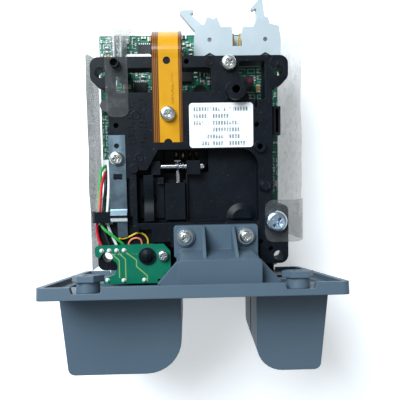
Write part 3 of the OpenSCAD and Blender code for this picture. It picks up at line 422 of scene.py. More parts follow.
def clear_film():
    """Clear polyester sheet: mostly seen through, with soft wrinkles and a painted highlight along them."""
    f = Finish("clear_film")
    x, _, z = f.axes()
    over = z.above(4, 2.0)
    doubled = x.below(-35.2, 0.4) * z.below(4, 2.0)
    fold = f.noise(0.07, 3)
    fine = f.noise(0.6, 4, turn=3.0)
    scuff = f.noise(0.35, 5, 0.65, turn=6.0).above(0.6, 0.12)
    # painted highlight: the colour goes paler and the alpha higher where the fold noise is high
    colour = f.mix(fold, (0.22, 0.2, 0.18), (0.36, 0.33, 0.3))
    colour = f.mix(doubled, colour, (0.3, 0.25, 0.235))
    colour = f.mix(over * 0.8, colour, (0.06, 0.075, 0.085))
    colour = f.mix(scuff * (0.4 - 0.3 * over), colour, (0.6, 0.6, 0.58))
    return f.surface(colour=colour, roughness=0.07 + 0.12 * fine, gloss=0.6,
                     alpha=0.14 + 0.18 * fold + 0.1 * scuff + 0.34 * doubled,
                     normal=f.bumps(fold * 3 + fine * 0.4, 0.4, 0.5))


def insulation(name, colour):
    f = Finish(name)
    smudge = f.noise(1.2, 3)
    dark = tuple(c * 0.8 for c in colour)
    return f.surface(colour=f.mix(smudge, dark, colour), roughness=0.34 + 0.14 * smudge,
                     normal=f.bumps(smudge, 0.02, 0.3))


def moulded_package():
    f = Finish("moulded_package")
    grain = f.noise(6.0, 3, 0.7)
    return f.surface(colour=f.mix(grain, (0.012, 0.013, 0.016), (0.03, 0.032, 0.036)),
                     roughness=0.5 + 0.2 * grain,
                     normal=f.bumps(grain, 0.02, 0.5, rounded_mm=0.08))


def drawn_can():
    """Cans: dark sleeves on the capacitors, a red dot on the right one, and the low crystal bare."""
    f = Finish("drawn_can")
    x, y, z = f.axes()
    scuff = f.noise(3.0, 3)
    sleeve = z.above(-9.3, 0.03).at_least(y.below(80, 0.05))
    dot = ((x - 23.4) * (x - 23.4) + (y - 75.2) * (y - 75.2)).below(0.75, 0.15) * z.above(-5.8, 0.02)
    bare = f.mix(scuff, (0.7, 0.71, 0.72), (0.86, 0.87, 0.88))
    colour = f.mix(sleeve * 0.97, bare, f.mix(scuff, (0.012, 0.013, 0.016), (0.03, 0.033, 0.04)))
    colour = f.mix(dot * 0.9, colour, (0.5, 0.04, 0.08))
    return f.surface(colour=colour, roughness=0.24 + 0.2 * scuff, metal=1 - sleeve,
                     normal=f.bumps(scuff, 0.01, 0.3))


def bright_solder():
    f = Finish("bright_solder")
    rough = f.noise(3.0, 3)
    return f.surface(colour=f.mix(rough, (0.8, 0.8, 0.78), (0.96, 0.96, 0.94)),
                     roughness=0.3 + 0.2 * rough, metal=0.35,
                     normal=f.bumps(rough, 0.05, 0.5))


def pale_floor():
    f = Finish("pale_floor")
    cloud = f.noise(0.01, 3)
    return f.surface(colour=f.mix(cloud, (0.86, 0.87, 0.88), (0.9, 0.91, 0.92)), roughness=0.75,
                     glow=(0.95, 0.98, 1.0), glow_strength=0.4)


FINISHES = {}
MAKERS = {
    "slate": slate_moulding,
    "black": black_moulding,
    "black_small": lambda: black_moulding("black_small_moulding", 0.12),
    "zinc": zinc_plate,
    "blue_zinc": lambda: zinc_plate(
        "blue_zinc_plate", (0.42, 0.54, 0.66), (0.74, 0.85, 0.95), (0.5, 0.62, 0.8)),
    "strip": strip_steel,
    "leaf": leaf_steel,
    "steel": polished_steel,
    "mask": solder_mask,
    "lead_mask": lead_board_mask,
    "header": header_moulding,
    "nylon": lambda: plain_moulding("white_nylon", (0.7, 0.73, 0.72), (0.82, 0.84, 0.83), 0.36),
    "cream": lambda: plain_moulding("cream_nylon", (0.5, 0.47, 0.38), (0.62, 0.58, 0.47), 0.4),
    "gold": gold_plate,
    "flex": flex_amber,
    "label": printed_label,
    "film": clear_film,
    "package": moulded_package,
    "can": drawn_can,
    "chip": lambda: plain_moulding("fired_chip", (0.3, 0.26, 0.2), (0.5, 0.45, 0.36), 0.45, 0.05),
    "solder": bright_solder,
    "lens": lambda: plain_moulding("clear_lens", (0.5, 0.62, 0.55), (0.62, 0.74, 0.66), 0.12, 0.05),
    "winding": lambda: plain_moulding("enamelled_winding", (0.2, 0.06, 0.02), (0.34, 0.13, 0.04), 0.3, 0.05),
    "tantalum": lambda: plain_moulding("tantalum_case", (0.42, 0.24, 0.05), (0.55, 0.34, 0.09), 0.4, 0.05),
    "rubber": lambda: plain_moulding(
        "ground_rubber", (0.012, 0.012, 0.013), (0.03, 0.03, 0.032), 0.65, 0.1, 0.05, 7.0),
    "red": lambda: insulation("red_insulation", (0.62, 0.015, 0.03)),
    "black_wire": lambda: insulation("black_insulation", (0.014, 0.014, 0.016)),
    "green": lambda: insulation("green_insulation", (0.02, 0.4, 0.07)),
    "white": lambda: insulation("white_insulation", (0.8, 0.8, 0.8)),
    "yellow": lambda: insulation("yellow_insulation", (0.72, 0.5, 0.03)),
    "orange": lambda: insulation("orange_insulation", (0.8, 0.22, 0.12)),
}

NODE_FINISHES = {
    "slate": ["bezel", "left_lobe", "right_lobe", "panel_bosses"],
    "black": ["upper_chassis", "lower_chassis"],
    "black_small": ["cable_hook", "head_holder", "contact_carriage", "lead_board_rivet", "solenoid_frame",
                    "head_spring"],
    "zinc": ["bezel_screws", "bezel_washers", "chassis_screws", "rear_screw", "flex_screw", "leaf_screw",
             "earth_screw", "lead_board_screw", "main_board_screws"],
    "strip": ["lock_lever", "shaft_ring"],
    "leaf": ["side_leaf"],
    "steel": ["latch_pins", "lock_shaft", "solenoid_plunger", "roller_axle", "magnetic_head",
              "carriage_springs"],
    "mask": ["main_board"],
    "lead_mask": ["lead_board"],
    "header": ["header_housing", "left_latch", "right_latch"],
    "nylon": ["power_socket", "harness_socket"],
    "cream": ["flex_socket"],
    "gold": ["header_pins", "contact_springs"],
    "flex": ["head_flex"],
    "label": ["label"],
    "film": ["insulation_film"],
    "package": ["processor_chip", "driver_chips", "edge_socket", "card_sensors"],
    "can": ["can_capacitors", "crystal_can"],
    "chip": ["small_components"],
    "solder": ["solder_joints"],
    "lens": ["indicator_leds"],
    "winding": ["solenoid_coil"],
    "rubber": ["pressure_roller"],
    "red": ["wire_red"],
    "black_wire": ["wire_black"],
    "green": ["wire_green"],
    "white": ["wire_white"],
    "yellow": ["wire_yellow"],
    "orange": ["wire_orange"],
}


def finish(name):
    if name not in FINISHES:
        FINISHES[name] = MAKERS[name]()
    return FINISHES[name]


def coat(piece, name):
    piece.data.materials.clear()
    piece.data.materials.append(finish(name))
    return piece


# ---------------------------------------------------------------- shaping


def fresh():
    """Object mode with nothing selected, so the next operator works on its own piece alone."""
    if bpy.context.object and bpy.context.object.mode != "OBJECT":
        bpy.ops.object.mode_set(mode="OBJECT")
    bpy.ops.object.select_all(action="DESELECT")


def only(piece):
    fresh()
    piece.select_set(True)
    bpy.context.view_layer.objects.active = piece
    return piece


def added(primitive, **sizes):
    """A new primitive, sizes in millimetres."""
    fresh()
    place = sizes.pop("place", (0, 0, 0))
    for key in ("radius", "depth", "size", "radius1", "radius2"):
        if key in sizes:
            sizes[key] *= MM
    primitive(location=[v * MM for v in place], **sizes)
    return bpy.context.object


def box_at(low, high):
    """A cube stretched between two corners in millimetres, with its place already in its mesh."""
    piece = added(bpy.ops.mesh.primitive_cube_add, size=1, place=[(a + b) / 2 for a, b in zip(low, high)])
    piece.scale = [b - a for a, b in zip(low, high)]
    bpy.ops.object.transform_apply(location=True, rotation=True, scale=True)
    return piece


def pick_faces(piece, wanted):
    """Edit mode on the piece with the wanted faces selected, and no others."""
    only(piece)
    bpy.ops.object.mode_set(mode="EDIT")
    bpy.ops.mesh.select_mode(type="FACE")
    bpy.ops.mesh.select_all(action="DESELECT")
    bpy.ops.object.mode_set(mode="OBJECT")
    for face in piece.data.polygons:
        face.select = wanted(face)
    bpy.ops.object.mode_set(mode="EDIT")


def modified(piece, kind, **settings):
    only(piece)
    bpy.ops.object.modifier_add(type=kind)
    modifier = piece.modifiers[-1]
    for key, value in settings.items():
        setattr(modifier, key, value)
    bpy.ops.object.modifier_apply(modifier=modifier.name)
    return piece


def copied(piece, offset):
    """A copy with its own mesh, moved by offset in millimetres."""
    twin = piece.copy()
    twin.data = piece.data.copy()
    bpy.context.scene.collection.objects.link(twin)
    only(twin)
    twin.location = [v * MM for v in offset]
    bpy.ops.object.transform_apply(location=True, rotation=True, scale=True)
    return twin


def joined(pieces):
    fresh()
    for piece in pieces:
        piece.select_set(True)
    bpy.context.view_layer.objects.active = pieces[0]
    if len(pieces) > 1:
        bpy.ops.object.join()
    return bpy.context.object


def finished(piece, name, paint=None, stands_for=None, angle=32, body="unit"):
    """Bakes the place into the mesh, smooths the shading and ties the piece to its body; the part that it
    stands for is hidden.
    """
    only(piece)
    bpy.ops.object.transform_apply(location=True, rotation=True, scale=True)
    if angle:
        bpy.ops.object.shade_smooth_by_angle(angle=math.radians(angle))
    piece.name = name
    piece.data.name = name
    if paint:
        coat(piece, paint)
    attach(piece, body)
    if stands_for:
        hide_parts(stands_for)
    return piece


def eased(points, steps=6):
    """A smooth line through the points."""
    line = []
    for i in range(len(points) - 1):
        a, b, c, d = (Vector(points[min(max(j, 0), len(points) - 1)]) for j in (i - 1, i, i + 1, i + 2))
        for k in range(steps):
            t = k / steps
            line.append(0.5 * (2 * b + (c - a) * t + (2 * a - 5 * b + 4 * c - d) * t**2
                               + (3 * b - a - 3 * c + d) * t**3))
    return line + [Vector(points[-1])]


def cross_screw(head_d, head_h, shank_d, shank_l, turn):
    """Pan head with a cross recess, standing at the origin with its shank below."""
    screw = added(bpy.ops.mesh.primitive_cylinder_add, vertices=44, radius=head_d / 2, depth=head_h,
                  place=(0, 0, head_h / 2))
    bpy.ops.object.transform_apply(location=True, rotation=True, scale=True)
    pick_faces(screw, lambda face: face.normal.z > 0.9)
    bpy.ops.mesh.bevel(offset=head_h * 0.62 * MM, segments=6, profile=0.6, affect="EDGES")
    pick_faces(screw, lambda face: face.normal.z < -0.9)
    bpy.ops.mesh.inset(thickness=(head_d - shank_d) / 2 * MM, depth=0)
    bpy.ops.mesh.extrude_region_move(TRANSFORM_OT_translate={"value": (0, 0, -shank_l * MM)})
    bpy.ops.mesh.inset(thickness=shank_d * 0.16 * MM, depth=shank_d * 0.12 * MM)
    for quarter in (0, 90):
        wing = box_at((-head_d * 0.31, -head_d * 0.08, head_h * 0.1),
                      (head_d * 0.31, head_d * 0.08, head_h * 1.3))
        pick_faces(wing, lambda face: face.normal.z < -0.9)
        bpy.ops.transform.resize(value=(0.35, 0.7, 1))
        bpy.ops.object.mode_set(mode="OBJECT")
        wing.rotation_euler.z = math.radians(quarter + turn)
        bpy.ops.object.transform_apply(location=True, rotation=True, scale=True)
        modified(screw, "BOOLEAN", operation="DIFFERENCE", object=wing, solver="EXACT")
        bpy.data.objects.remove(wing)
    return screw


def lead_tube(route, diameter, steps=6):
    """A round lead along a smooth line through the route's points."""
    fresh()
    curve = bpy.data.curves.new("lead", "CURVE")
    curve.dimensions = "3D"
    curve.bevel_depth = diameter / 2 * MM
    curve.bevel_resolution = 4
    curve.use_fill_caps = True
    line = eased(route, steps)
    spline = curve.splines.new("POLY")
    spline.points.add(len(line) - 1)
    for point, spot in zip(spline.points, line):
        point.co = (*(spot * MM), 1)
    lead = bpy.data.objects.new("lead", curve)
    bpy.context.scene.collection.objects.link(lead)
    only(lead)
    bpy.ops.object.convert(target="MESH")
    return bpy.context.object


def bent_sheet(across, along, shape):
    """A sheet of across by along cells, laid where shape(u, v) says in millimetres."""
    piece = added(bpy.ops.mesh.primitive_grid_add, x_subdivisions=across, y_subdivisions=along, size=1000)
    for spot in piece.data.vertices:
        spot.co = Vector(shape(spot.co.x + 0.5, spot.co.y + 0.5)) * MM
    return piece


def chip_part(length, width, height, ends, paint, cap="solder"):
    """A chip resistor or capacitor at the origin: a fired body with tinned ends."""
    part = box_at((-length / 2, -width / 2, 0), (length / 2, width / 2, height))
    only(part)
    for x in (-1, 1):
        pick_faces(part, lambda face: True)
        bpy.ops.mesh.bisect(plane_co=(x * (length / 2 - ends) * MM, 0, 0), plane_no=(1, 0, 0))
        bpy.ops.object.mode_set(mode="OBJECT")
    coat(part, paint)
    part.data.materials.append(finish(cap))
    for face in part.data.polygons:
        face.material_index = int(abs(face.center.x) > (length / 2 - ends) * MM)
    pick_faces(part, lambda face: abs(face.center.x) > (length / 2 - ends) * MM)
    bpy.ops.transform.resize(value=(1, 1.06, 1.08))
    bpy.ops.object.mode_set(mode="OBJECT")
    return part


# ---------------------------------------------------------------- sizes


class FilmSizes(bpy.types.PropertyGroup):
    """The clear film round the board."""

    wave: bpy.props.FloatProperty(
        name="Wave", description="How far the film's free sides wander from straight",
        default=0.0006, unit="LENGTH")


class BoardSizes(bpy.types.PropertyGroup):
    """The small parts on the main board."""

    seed: bpy.props.IntProperty(
        name="Layout", description="Number of the layout of the chip parts", default=4)


class StageSizes(bpy.types.PropertyGroup):
    """The floor, the lights and the camera."""

    floor_drop: bpy.props.FloatProperty(
        name="Floor gap", description="How far the floor lies under the lowest point",
        default=0.0004, unit="LENGTH")
    floor_size: bpy.props.FloatProperty(
        name="Floor size", description="Width of the square floor", default=4.0, unit="LENGTH")
    key_power: bpy.props.FloatProperty(
        name="Key light", description="Power of the large light above the rear left",
        default=9.0, unit="POWER")
    fill_power: bpy.props.FloatProperty(
        name="Fill light", description="Power of the light above the front", default=0.7, unit="POWER")
    sky: bpy.props.FloatProperty(
        name="Sky", description="Strength of the even light from all sides", default=0.2, min=0.0)
    lens: bpy.props.FloatProperty(
        name="Lens", description="Focal length of the camera, in millimetres", default=40.5)


class FinishColours(bpy.types.PropertyGroup):
    """The colours that a new version of the reader would change."""

    bezel: bpy.props.FloatVectorProperty(
        name="Bezel", description="Moulding of the bezel, its lobes and bosses",
        default=(0.069, 0.108, 0.146), min=0.0, max=1.0, subtype="COLOR")
    chassis: bpy.props.FloatVectorProperty(
        name="Chassis", description="Moulding of both chassis halves",
        default=(0.0034, 0.0056, 0.0088), min=0.0, max=1.0, subtype="COLOR")
    small_board: bpy.props.FloatVectorProperty(
        name="Small board", description="Lacquer of the small board at the slot",
        default=(0.0026, 0.145, 0.08), min=0.0, max=1.0, subtype="COLOR")
    header: bpy.props.FloatVectorProperty(
        name="Plug header", description="Moulding of the plug header and its latches",
        default=(0.44, 0.51, 0.54), min=0.0, max=1.0, subtype="COLOR")
    flex: bpy.props.FloatVectorProperty(
        name="Flex cable", description="Film of the flex cable",
        default=(0.55, 0.25, 0.0045), min=0.0, max=1.0, subtype="COLOR")
    label: bpy.props.FloatVectorProperty(
        name="Label", description="Paper of the label",
        default=(0.88, 0.93, 0.95), min=0.0, max=1.0, subtype="COLOR")


# ---------------------------------------------------------------- operators


class CARDREADER_OT_frame_finishes(bpy.types.Operator):
    """Gives every piece of the fixed frame its finish"""

    bl_idname = "cardreader.frame_finishes"
    bl_label = "Frame Finishes"

    def execute(self, context):
        for name, nodes in NODE_FINISHES.items():
            for node in nodes:
                coat(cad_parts[node], name)
        return {"FINISHED"}


SCREWS = {
    "bezel_screws": ("screw_zinc", [(-2.6, 17.3, 12.7), (19, 17.3, 12.7)], (4.4, 1.9, 2.6, 8.5), 20),
    "rear_screw": ("screw_zinc", [(13.9, 78.6, 9)], (5.4, 2.4, 3, 7.5), 35),
    "flex_screw": ("screw_zinc", [(-7.9, 61.3, 9.3)], (5.3, 2.1, 3, 5), 28),
    "leaf_screw": ("screw_zinc", [(-26.4, 45.8, 9.35)], (4.9, 2.2, 2.6, 5), 12),
    "earth_screw": ("screw_zinc", [(30.2, 22.3, 9.36)], (8, 3.4, 4, 6.5), 50),
    "lead_board_screw": ("screw_zinc", [(-10.8, 10.3, 8.6)], (4, 1.8, 2, 4.5), 8),
}


class CARDREADER_OT_screws(bpy.types.Operator):
    """Pan-head screws with cross recesses: bezel, rear bar, flex cable, leaf, earth and small board"""

    bl_idname = "cardreader.screws"
    bl_label = "Screws"

    def execute(self, context):
        for node, (slot, places, size, turn) in SCREWS.items():
            pattern = cross_screw(*size, turn)
            screws = [copied(pattern, place) for place in places]
            bpy.data.objects.remove(pattern)
            plating = "blue_zinc" if node == "earth_screw" else "zinc"
            finished(joined(screws), node + "_heads", plating, node, angle=35)
        return {"FINISHED"}


# The driver chips on the main board's top face, each as its low x, low y, high x and high y in
# millimetres, with the pitch of their legs and what is left free of legs along each side.
DRIVER_CHIPS = [(-22, 72, -17, 76), (-14, 71.4, -10, 75.8), (-20, 87.2, -15, 90.6), (20, 66.6, 23.4, 71.2)]
BOARD_TOP = -12.0
LEG_PITCH = 0.8
LEG_MARGIN = 0.6

# Small chip parts: the grid that they sit on, the gap round each, and the tries for each area.
CHIP_GRID = 0.635
CHIP_GAP = 0.3
CHIP_TRIES = 600

MARK_SEED = 11

# The camera looks down on the card plane: its place in metres and its turn in degrees.
CAMERA_PLACE = (-0.0006, 0.043, 0.171)
CAMERA_TURN = (-4.447, -1.333, -0.997)

LEADS = {
    "red": ("wire_red", 1.1, [
        (-33.4, 40.7, -7), (-33.4, 40.1, -4), (-33.6, 37, 0.6), (-33.6, 33, 4),
        (-33.6, 28.6, 6.4), (-33.5, 25, 6.8),
        (-34.3, 23.2, 6.9), (-34.9, 21.4, 6.5), (-35, 18.6, 5.6), (-34.6, 16, 5.4), (-33.6, 13.6, 5.4),
        (-33.1, 12.5, 6)]),
    "black_wire": ("wire_black", 1.1, [
        (-32.2, 41.9, -7), (-32.2, 41.4, -4.4), (-32.4, 38, -1), (-32.6, 32, 2),
        (-32.6, 28, 4.6), (-32.6, 25, 5.4),
        (-32.5, 20, 5.4), (-31.6, 16, 5.4), (-30.7, 13.6, 5.4), (-30.4, 12.5, 6)]),
    "green": ("wire_green", 1.1, [
        (-33.4, 43.1, -7), (-33.8, 42.8, -5), (-34.8, 40.6, -3.2), (-34.8, 37, -1.4), (-34.6, 32, 2),
        (-34.2, 28, 4.6),
        (-34, 25, 5.4), (-33.7, 23.4, 5.5), (-33.4, 21.9, 6.3), (-32.4, 20.3, 6.9), (-30.6, 18.7, 6.95),
        (-28.3, 16.8, 6.7), (-26.2, 14.8, 5.9), (-25.1, 13.2, 5.5), (-25, 12.5, 6)]),
    "white": ("wire_white", 1.1, [
        (-32.2, 44.3, -7), (-32, 43.8, -4.2), (-31.2, 40, -0.6), (-30.9, 34, 2.6),
        (-31, 28.6, 4.8), (-31.2, 25, 5.4),
        (-31, 21, 5.4), (-29.4, 16.8, 5.4), (-28.1, 13.8, 5.4), (-27.7, 12.5, 6)]),
    "yellow": ("wire_yellow", 0.7, [
        (-27.2, 16.3, 5.15), (-25, 16.5, 6.45), (-22.6, 17.4, 6.9), (-20, 18.6, 7.3), (-17.8, 18, 7.2),
        (-16.5, 16.2, 6.8), (-16.4, 14.2, 6.45)]),
    "orange": ("wire_orange", 0.7, [
        (-23.6, 13.2, 6.45), (-23.4, 14.8, 6.5), (-22.2, 16.2, 6.7), (-20.4, 16.6, 6.8), (-19, 15.9, 6.7),
        (-18.6, 14.2, 6.45)]),
}


class CARDREADER_OT_leads(bpy.types.Operator):
    """The six insulated leads between the main board's socket, the hook and the small board"""

    bl_idname = "cardreader.leads"
    bl_label = "Leads"

    def execute(self, context):
        for paint, (node, diameter, route) in LEADS.items():
            finished(lead_tube(route, diameter), node.replace("wire", "lead"), paint, node, angle=60)
        return {"FINISHED"}


class CARDREADER_OT_springs(bpy.types.Operator):
    """The carriage's coil springs and the head's bowed spring"""

    bl_idname = "cardreader.springs"
    bl_label = "Springs"

    def execute(self, context):
        coil_radius = 1.2
        wire = 0.4
        rise = 0.16  # along Y for each tenth of a turn
        coils = []
        for x in (-7.8, 7.0):
            turn = [math.radians(36 * i) for i in range(51)]
            coils.append(lead_tube([
                (x + coil_radius * math.cos(a), 56.3 + rise * i, -4.4 + coil_radius * math.sin(a))
                for i, a in enumerate(turn)], wire, 2))
        pair = finished(joined(coils), "carriage_coils", "steel", "carriage_springs", angle=60)
        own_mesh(pair)

        bow = eased([(22.8, 7.6, 0), (26, 7.3, 0), (30.5, 6.2, 0), (35, 7.3, 0), (39.6, 7.6, 0)])
        last = len(bow) - 1
        strip = bent_sheet(4, last, lambda u, v: (-17.35 + 3.5 * u, *bow[round(v * last)][:2]))
        modified(strip, "SOLIDIFY", thickness=0.24 * MM, offset=0)
        finished(strip, "head_bow", "black_small", "head_spring", angle=40)
        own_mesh(strip)
        return {"FINISHED"}


class CARDREADER_OT_film(bpy.types.Operator):
    """The clear film: floor, two turned-up sides, a folded tab at the rear left and one at the front right"""

    bl_idname = "cardreader.film"
    bl_label = "Clear Film"

    def execute(self, context):
        sizes = context.scene.cardreader_film
        wave = sizes.wave / MM
        floor_z = -17.2
        floor_front = 14.4
        floor_length = 81.4
        thickness = 0.14

        def ripple(a, b, seed):
            return wave * noise.noise(Vector((a * 0.11, b * 0.07, seed)))

        def rounded_end(distance, half, radius):
            """Half width of a strip with round corners, at a distance from its end."""
            if distance >= radius:
                return half
            return half - radius + math.sqrt(max(radius**2 - (radius - distance) ** 2, 0))

        def left_side(u, v):
            length = 82.6
            y = 3.2 + v * length
            drop = rounded_end((1 - v) * length, 1, 3) - 1
            z = floor_z + 0.6 + u * (17 + drop * 2)
            return (-36.7 - 1.55 * u - 0.2 - ripple(z, y, 1) * u, y, z)

        def floor(u, v):
            return (-36.4 + u * 73.2, floor_front + v * floor_length, floor_z + 0.05)

        def right_side(u, v):
            y = floor_front + v * floor_length
            drop = rounded_end((1 - v) * floor_length, 1, 5) - 1
            z = floor_z + 0.6 + u * (18.4 + drop * 1.6)
            return (37.1 + 4.6 * u - 0.3 + ripple(z, y, 5) * u, y, z)

        def front_tab(u, v):
            # from the side's top edge over the ear, with round corners on its free end
            length = 18
            run = u * length
            half = rounded_end(length - run, 7.7, 3)
            y = 22.2 + (v - 0.5) * 2 * half
            if run < 4:
                return (41.7 - run * 0.1, y, 1.4 + run * 0.95)
            if run < 8.5:
                t = (run - 4) / 4.5
                return (41.3 - 4.4 * t, y, 5.2 + 4 * math.sin(t * math.pi / 2))
            lift = 0.25 * abs(noise.noise(Vector((run * 0.3, y * 0.2, 8))))
            return (36.9 - (run - 8.5) * 1.1, y, 9.22 + 0.06 * min(run - 8.5, 1) + lift * 0.2)

        def rear_tab(u, v):
            # up from the floor behind the board, over the rear bar and forward, with a diagonal crease
            path = [Vector((94.2, floor_z)), Vector((96.1, floor_z + 0.3)), Vector((95.4, -6)),
                    Vector((85, 9.22)), Vector((83, 9.3)), Vector((60.3, 9.3))]
            lengths = [(b - a).length for a, b in zip(path, path[1:])]
            run = v * sum(lengths)
            left_over = sum(lengths) - run
            spot = path[-1]
            for a, b, length in zip(path, path[1:], lengths):
                if run <= length:
                    spot = a + (b - a) * (run / length)
                    break
                run -= length
            half = rounded_end(left_over, 4, 2.6)
            x = -25.7 + (u - 0.5) * 2 * half
            crease = abs((x + 25.7) * 0.8 + (spot.x - 72) * 0.45)
            lift = 0.5 * max(0, 1 - crease / 1.6) if spot.x < 82 else 0
            dent = 0.15 * abs(noise.noise(Vector((x * 0.4, spot.x * 0.3, 2))))
            return (x, spot.x, spot.y + lift * 0.6 + dent)

        sheets = [bent_sheet(10, 90, left_side), bent_sheet(24, 60, floor), bent_sheet(10, 90, right_side),
                  bent_sheet(48, 26, front_tab), bent_sheet(16, 120, rear_tab)]
        for sheet in sheets:
            modified(sheet, "SOLIDIFY", thickness=thickness * MM, offset=0)
        finished(joined(sheets), "film_sheets", "film", "insulation_film", angle=50)
        return {"FINISHED"}


class CARDREADER_OT_board_parts(bpy.types.Operator):
    """Chip parts with tinned ends and the driver chips' legs, on the free places of the main board"""

    bl_idname = "cardreader.board_parts"
    bl_label = "Board Parts"

    def execute(self, context):
        sizes = context.scene.cardreader_board
        top = BOARD_TOP
        patterns = [chip_part(1.6, 0.8, 0.6, 0.32, "chip"), chip_part(2.0, 1.25, 0.7, 0.4, "package"),
                    chip_part(1.0, 0.5, 0.45, 0.22, "chip"), chip_part(3.0, 1.5, 1.1, 0.5, "tantalum")]
        turned = []
        for pattern in patterns:
            other = copied(pattern, (0, 0, 0))
            other.rotation_euler.z = math.pi / 2
            bpy.ops.object.transform_apply(location=True, rotation=True, scale=True)
            turned.append(other)
        taken = [*DRIVER_CHIPS, (19.9, 72.1, 25.3, 77.5), (-35.1, 63.7, -29.7, 69.1),
                 (1.3, 68.9, 6.7, 74.3), (-9.2, 74.8, 1.2, 81.8),
                 (-25.2, 83.4, -14.2, 86.8), (-29.4, 83.4, -25.7, 93.6), (-14.2, 82.4, -1.7, 88.2),
                 (1.8, 81.4, 35, 95), (31.9, 53.7, 35.2, 65.3), (-34.8, 39.2, -31, 45.8),
                 (11, 75.8, 16.8, 81.4),
                 (-28.9, 76, -23.3, 81.6), (-34.5, 72.9, -28.5, 78.9), (28.5, 72.9, 34.5, 78.9),
                 (-30.4, 19.2, -24.8, 24.8), (25.4, 19.2, 31, 24.8),
                 (-30.4, 55.2, -24.8, 60.8), (25.4, 55.2, 31, 60.8)]
        areas = [((-27, 66.5, 9, 81), 46), ((16, 65, 28, 80.5), 16), ((-34.6, 81.5, 1.2, 93.6), 46),
                 ((-34.8, 26, -30.8, 68), 16), ((30.6, 28, 34.8, 72), 16)]
        chance = random.Random(sizes.seed)
        parts = []
        for (x0, y0, x1, y1), count in areas:
            tries = 0
            while count and tries < CHIP_TRIES:
                tries += 1
                kind = chance.choice([0, 0, 1, 2, 2, 2, 3] if x1 - x0 > 6 else [0, 2])
                upright = chance.random() < 0.5
                length, width = [(1.6, 0.8), (2.0, 1.25), (1.0, 0.5), (3.0, 1.5)][kind]
                if upright:
                    length, width = width, length
                x = round(chance.uniform(x0, x1) / CHIP_GRID) * CHIP_GRID
                y = round(chance.uniform(y0, y1) / CHIP_GRID) * CHIP_GRID
                half_x, half_y = length / 2 + CHIP_GAP, width / 2 + CHIP_GAP
                edge = (x - half_x, y - half_y, x + half_x, y + half_y)
                if any(edge[0] < t[2] and edge[2] > t[0] and edge[1] < t[3] and edge[3] > t[1]
                       for t in taken):
                    continue
                taken.append(edge)
                parts.append(copied((turned if upright else patterns)[kind], (x, y, top)))
                count -= 1
        for spare in patterns + turned:
            bpy.data.objects.remove(spare)
        finished(joined(parts), "chip_parts", None, "small_components", angle=0)

        leg = box_at((-0.15, -0.02, 0.42), (0.15, 0.3, 0.56))
        pick_faces(leg, lambda face: face.normal.y > 0.9)
        bpy.ops.mesh.extrude_region_move(TRANSFORM_OT_translate={"value": (0, 0.16 * MM, -0.42 * MM)})
        bpy.ops.mesh.extrude_region_move(TRANSFORM_OT_translate={"value": (0, 0.32 * MM, 0)})
        bpy.ops.object.mode_set(mode="OBJECT")
        back = copied(leg, (0, 0, 0))
        back.rotation_euler.z = math.pi
        bpy.ops.object.transform_apply(location=True, rotation=True, scale=True)
        legs = []
        for x0, y0, x1, y1 in DRIVER_CHIPS:
            count = int((x1 - x0 - LEG_MARGIN) / LEG_PITCH) + 1
            first = (x0 + x1) / 2 - (count - 1) * LEG_PITCH / 2
            for i in range(count):
                x = first + i * LEG_PITCH
                legs += [copied(leg, (x, y1, top)), copied(back, (x, y0, top))]
        for spare in (leg, back):
            bpy.data.objects.remove(spare)
        finished(joined(legs), "driver_chip_legs", "solder", angle=0)
        return {"FINISHED"}


class CARDREADER_OT_mould_marks(bpy.types.Operator):
    """Raised dashes on the upper chassis, left of the flex cable, where a moulding carries its marks"""

    bl_idname = "cardreader.mould_marks"
    bl_label = "Mould Marks"

    def execute(self, context):
        chance = random.Random(MARK_SEED)
        pattern = box_at((-0.5, -0.5, -0.05), (0.5, 0.5, 0.16))
        pick_faces(pattern, lambda face: face.normal.z > 0.9)
        bpy.ops.transform.resize(value=(0.8, 0.8, 1))
        bpy.ops.object.mode_set(mode="OBJECT")
        dashes = []
        for x, start, end in [(-20.9, 50.6, 65.6), (-16.9, 49.8, 66)]:
            y = start
            while y < end:
                length = chance.choice([0.7, 1.0, 1.3])
                for part in chance.sample([-1.05, -0.35, 0.35, 1.05], chance.choice([2, 3, 3])):
                    dash = copied(pattern, (0, 0, 0))
                    dash.scale = (0.55, length * chance.uniform(0.5, 1), 1)
                    dash.location = ((x + part) * MM, (y + length / 2) * MM, 9 * MM)
                    bpy.ops.object.transform_apply(location=True, rotation=True, scale=True)
                    dashes.append(dash)
                y += length + 0.55
        bpy.data.objects.remove(pattern)
        finished(joined(dashes), "mould_marks", "black_small", angle=0)
        return {"FINISHED"}


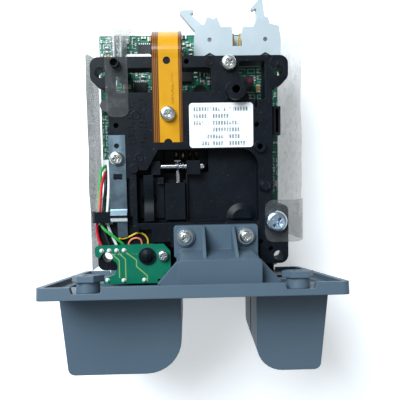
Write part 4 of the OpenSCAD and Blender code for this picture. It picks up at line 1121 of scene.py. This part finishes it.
class CARDREADER_OT_stage(bpy.types.Operator):
    """Lays the pale floor, hangs the soft lights and sets the camera"""

    bl_idname = "cardreader.stage"
    bl_label = "Stage"

    def execute(self, context):
        sizes = context.scene.cardreader_stage
        bpy.ops.object.select_all(action="DESELECT")
        bpy.ops.mesh.primitive_plane_add(size=sizes.floor_size, location=(0, 0, CAD_LOW.z - sizes.floor_drop))
        floor = context.object
        floor.name = "floor"
        coat(floor, "floor")
        middle = (CAD_LOW + CAD_HIGH) / 2
        for name, place, size, power, colour in [
            ("key", (-0.3, 0.42, 0.5), 0.42, sizes.key_power, (0.86, 0.94, 1.0)),
            ("fill", (0.3, -0.3, 0.55), 0.6, sizes.fill_power, (0.88, 0.95, 1.0)),
        ]:
            bpy.ops.object.light_add(type="AREA", location=place)
            light = context.object
            light.name = name
            light.data.shape = "SQUARE"
            light.data.size = size
            light.data.energy = power
            light.data.color = colour
            light.rotation_euler = (middle - Vector(place)).to_track_quat("-Z", "Y").to_euler()
        world = bpy.data.worlds.new("studio")
        world.use_nodes = True
        sky = world.node_tree.nodes["Background"]
        sky.inputs["Color"].default_value = (0.94, 0.97, 1.0, 1)
        sky.inputs["Strength"].default_value = sizes.sky
        context.scene.world = world
        bpy.ops.object.camera_add(
            location=CAMERA_PLACE, rotation=[math.radians(angle) for angle in CAMERA_TURN])
        camera = context.object
        camera.data.lens = sizes.lens
        camera.data.sensor_width = 36.0
        camera.data.clip_start = 0.005
        context.scene.camera = camera
        context.scene.view_settings.view_transform = "Standard"
        return {"FINISHED"}


class CARDREADER_PT_panel(bpy.types.Panel):
    """Lists the steps that build the unit"""

    bl_label = "Card Reader"
    bl_idname = "CARDREADER_PT_panel"
    bl_space_type = "VIEW_3D"
    bl_region_type = "UI"
    bl_category = "Card Reader"

    def draw(self, context):
        for step in STEPS:
            self.layout.operator(step.bl_idname)


MAKERS["floor"] = pale_floor
STEPS = [CARDREADER_OT_frame_finishes, CARDREADER_OT_screws, CARDREADER_OT_leads, CARDREADER_OT_springs,
         CARDREADER_OT_film, CARDREADER_OT_board_parts, CARDREADER_OT_mould_marks, CARDREADER_OT_stage]
CLASSES = [FilmSizes, BoardSizes, StageSizes, FinishColours, *STEPS, CARDREADER_PT_panel]


def register():
    for cls in CLASSES:
        bpy.utils.register_class(cls)
    bpy.types.Scene.cardreader_film = bpy.props.PointerProperty(type=FilmSizes)
    bpy.types.Scene.cardreader_board = bpy.props.PointerProperty(type=BoardSizes)
    bpy.types.Scene.cardreader_stage = bpy.props.PointerProperty(type=StageSizes)
    bpy.types.Scene.cardreader_colours = bpy.props.PointerProperty(type=FinishColours)


def unregister():
    del bpy.types.Scene.cardreader_colours
    del bpy.types.Scene.cardreader_stage
    del bpy.types.Scene.cardreader_board
    del bpy.types.Scene.cardreader_film
    for cls in reversed(CLASSES):
        bpy.utils.unregister_class(cls)


def main():
    register()
    for step in STEPS:
        group, name = step.bl_idname.split(".")
        getattr(getattr(bpy.ops, group), name)()


if __name__ == "__main__":
    main()
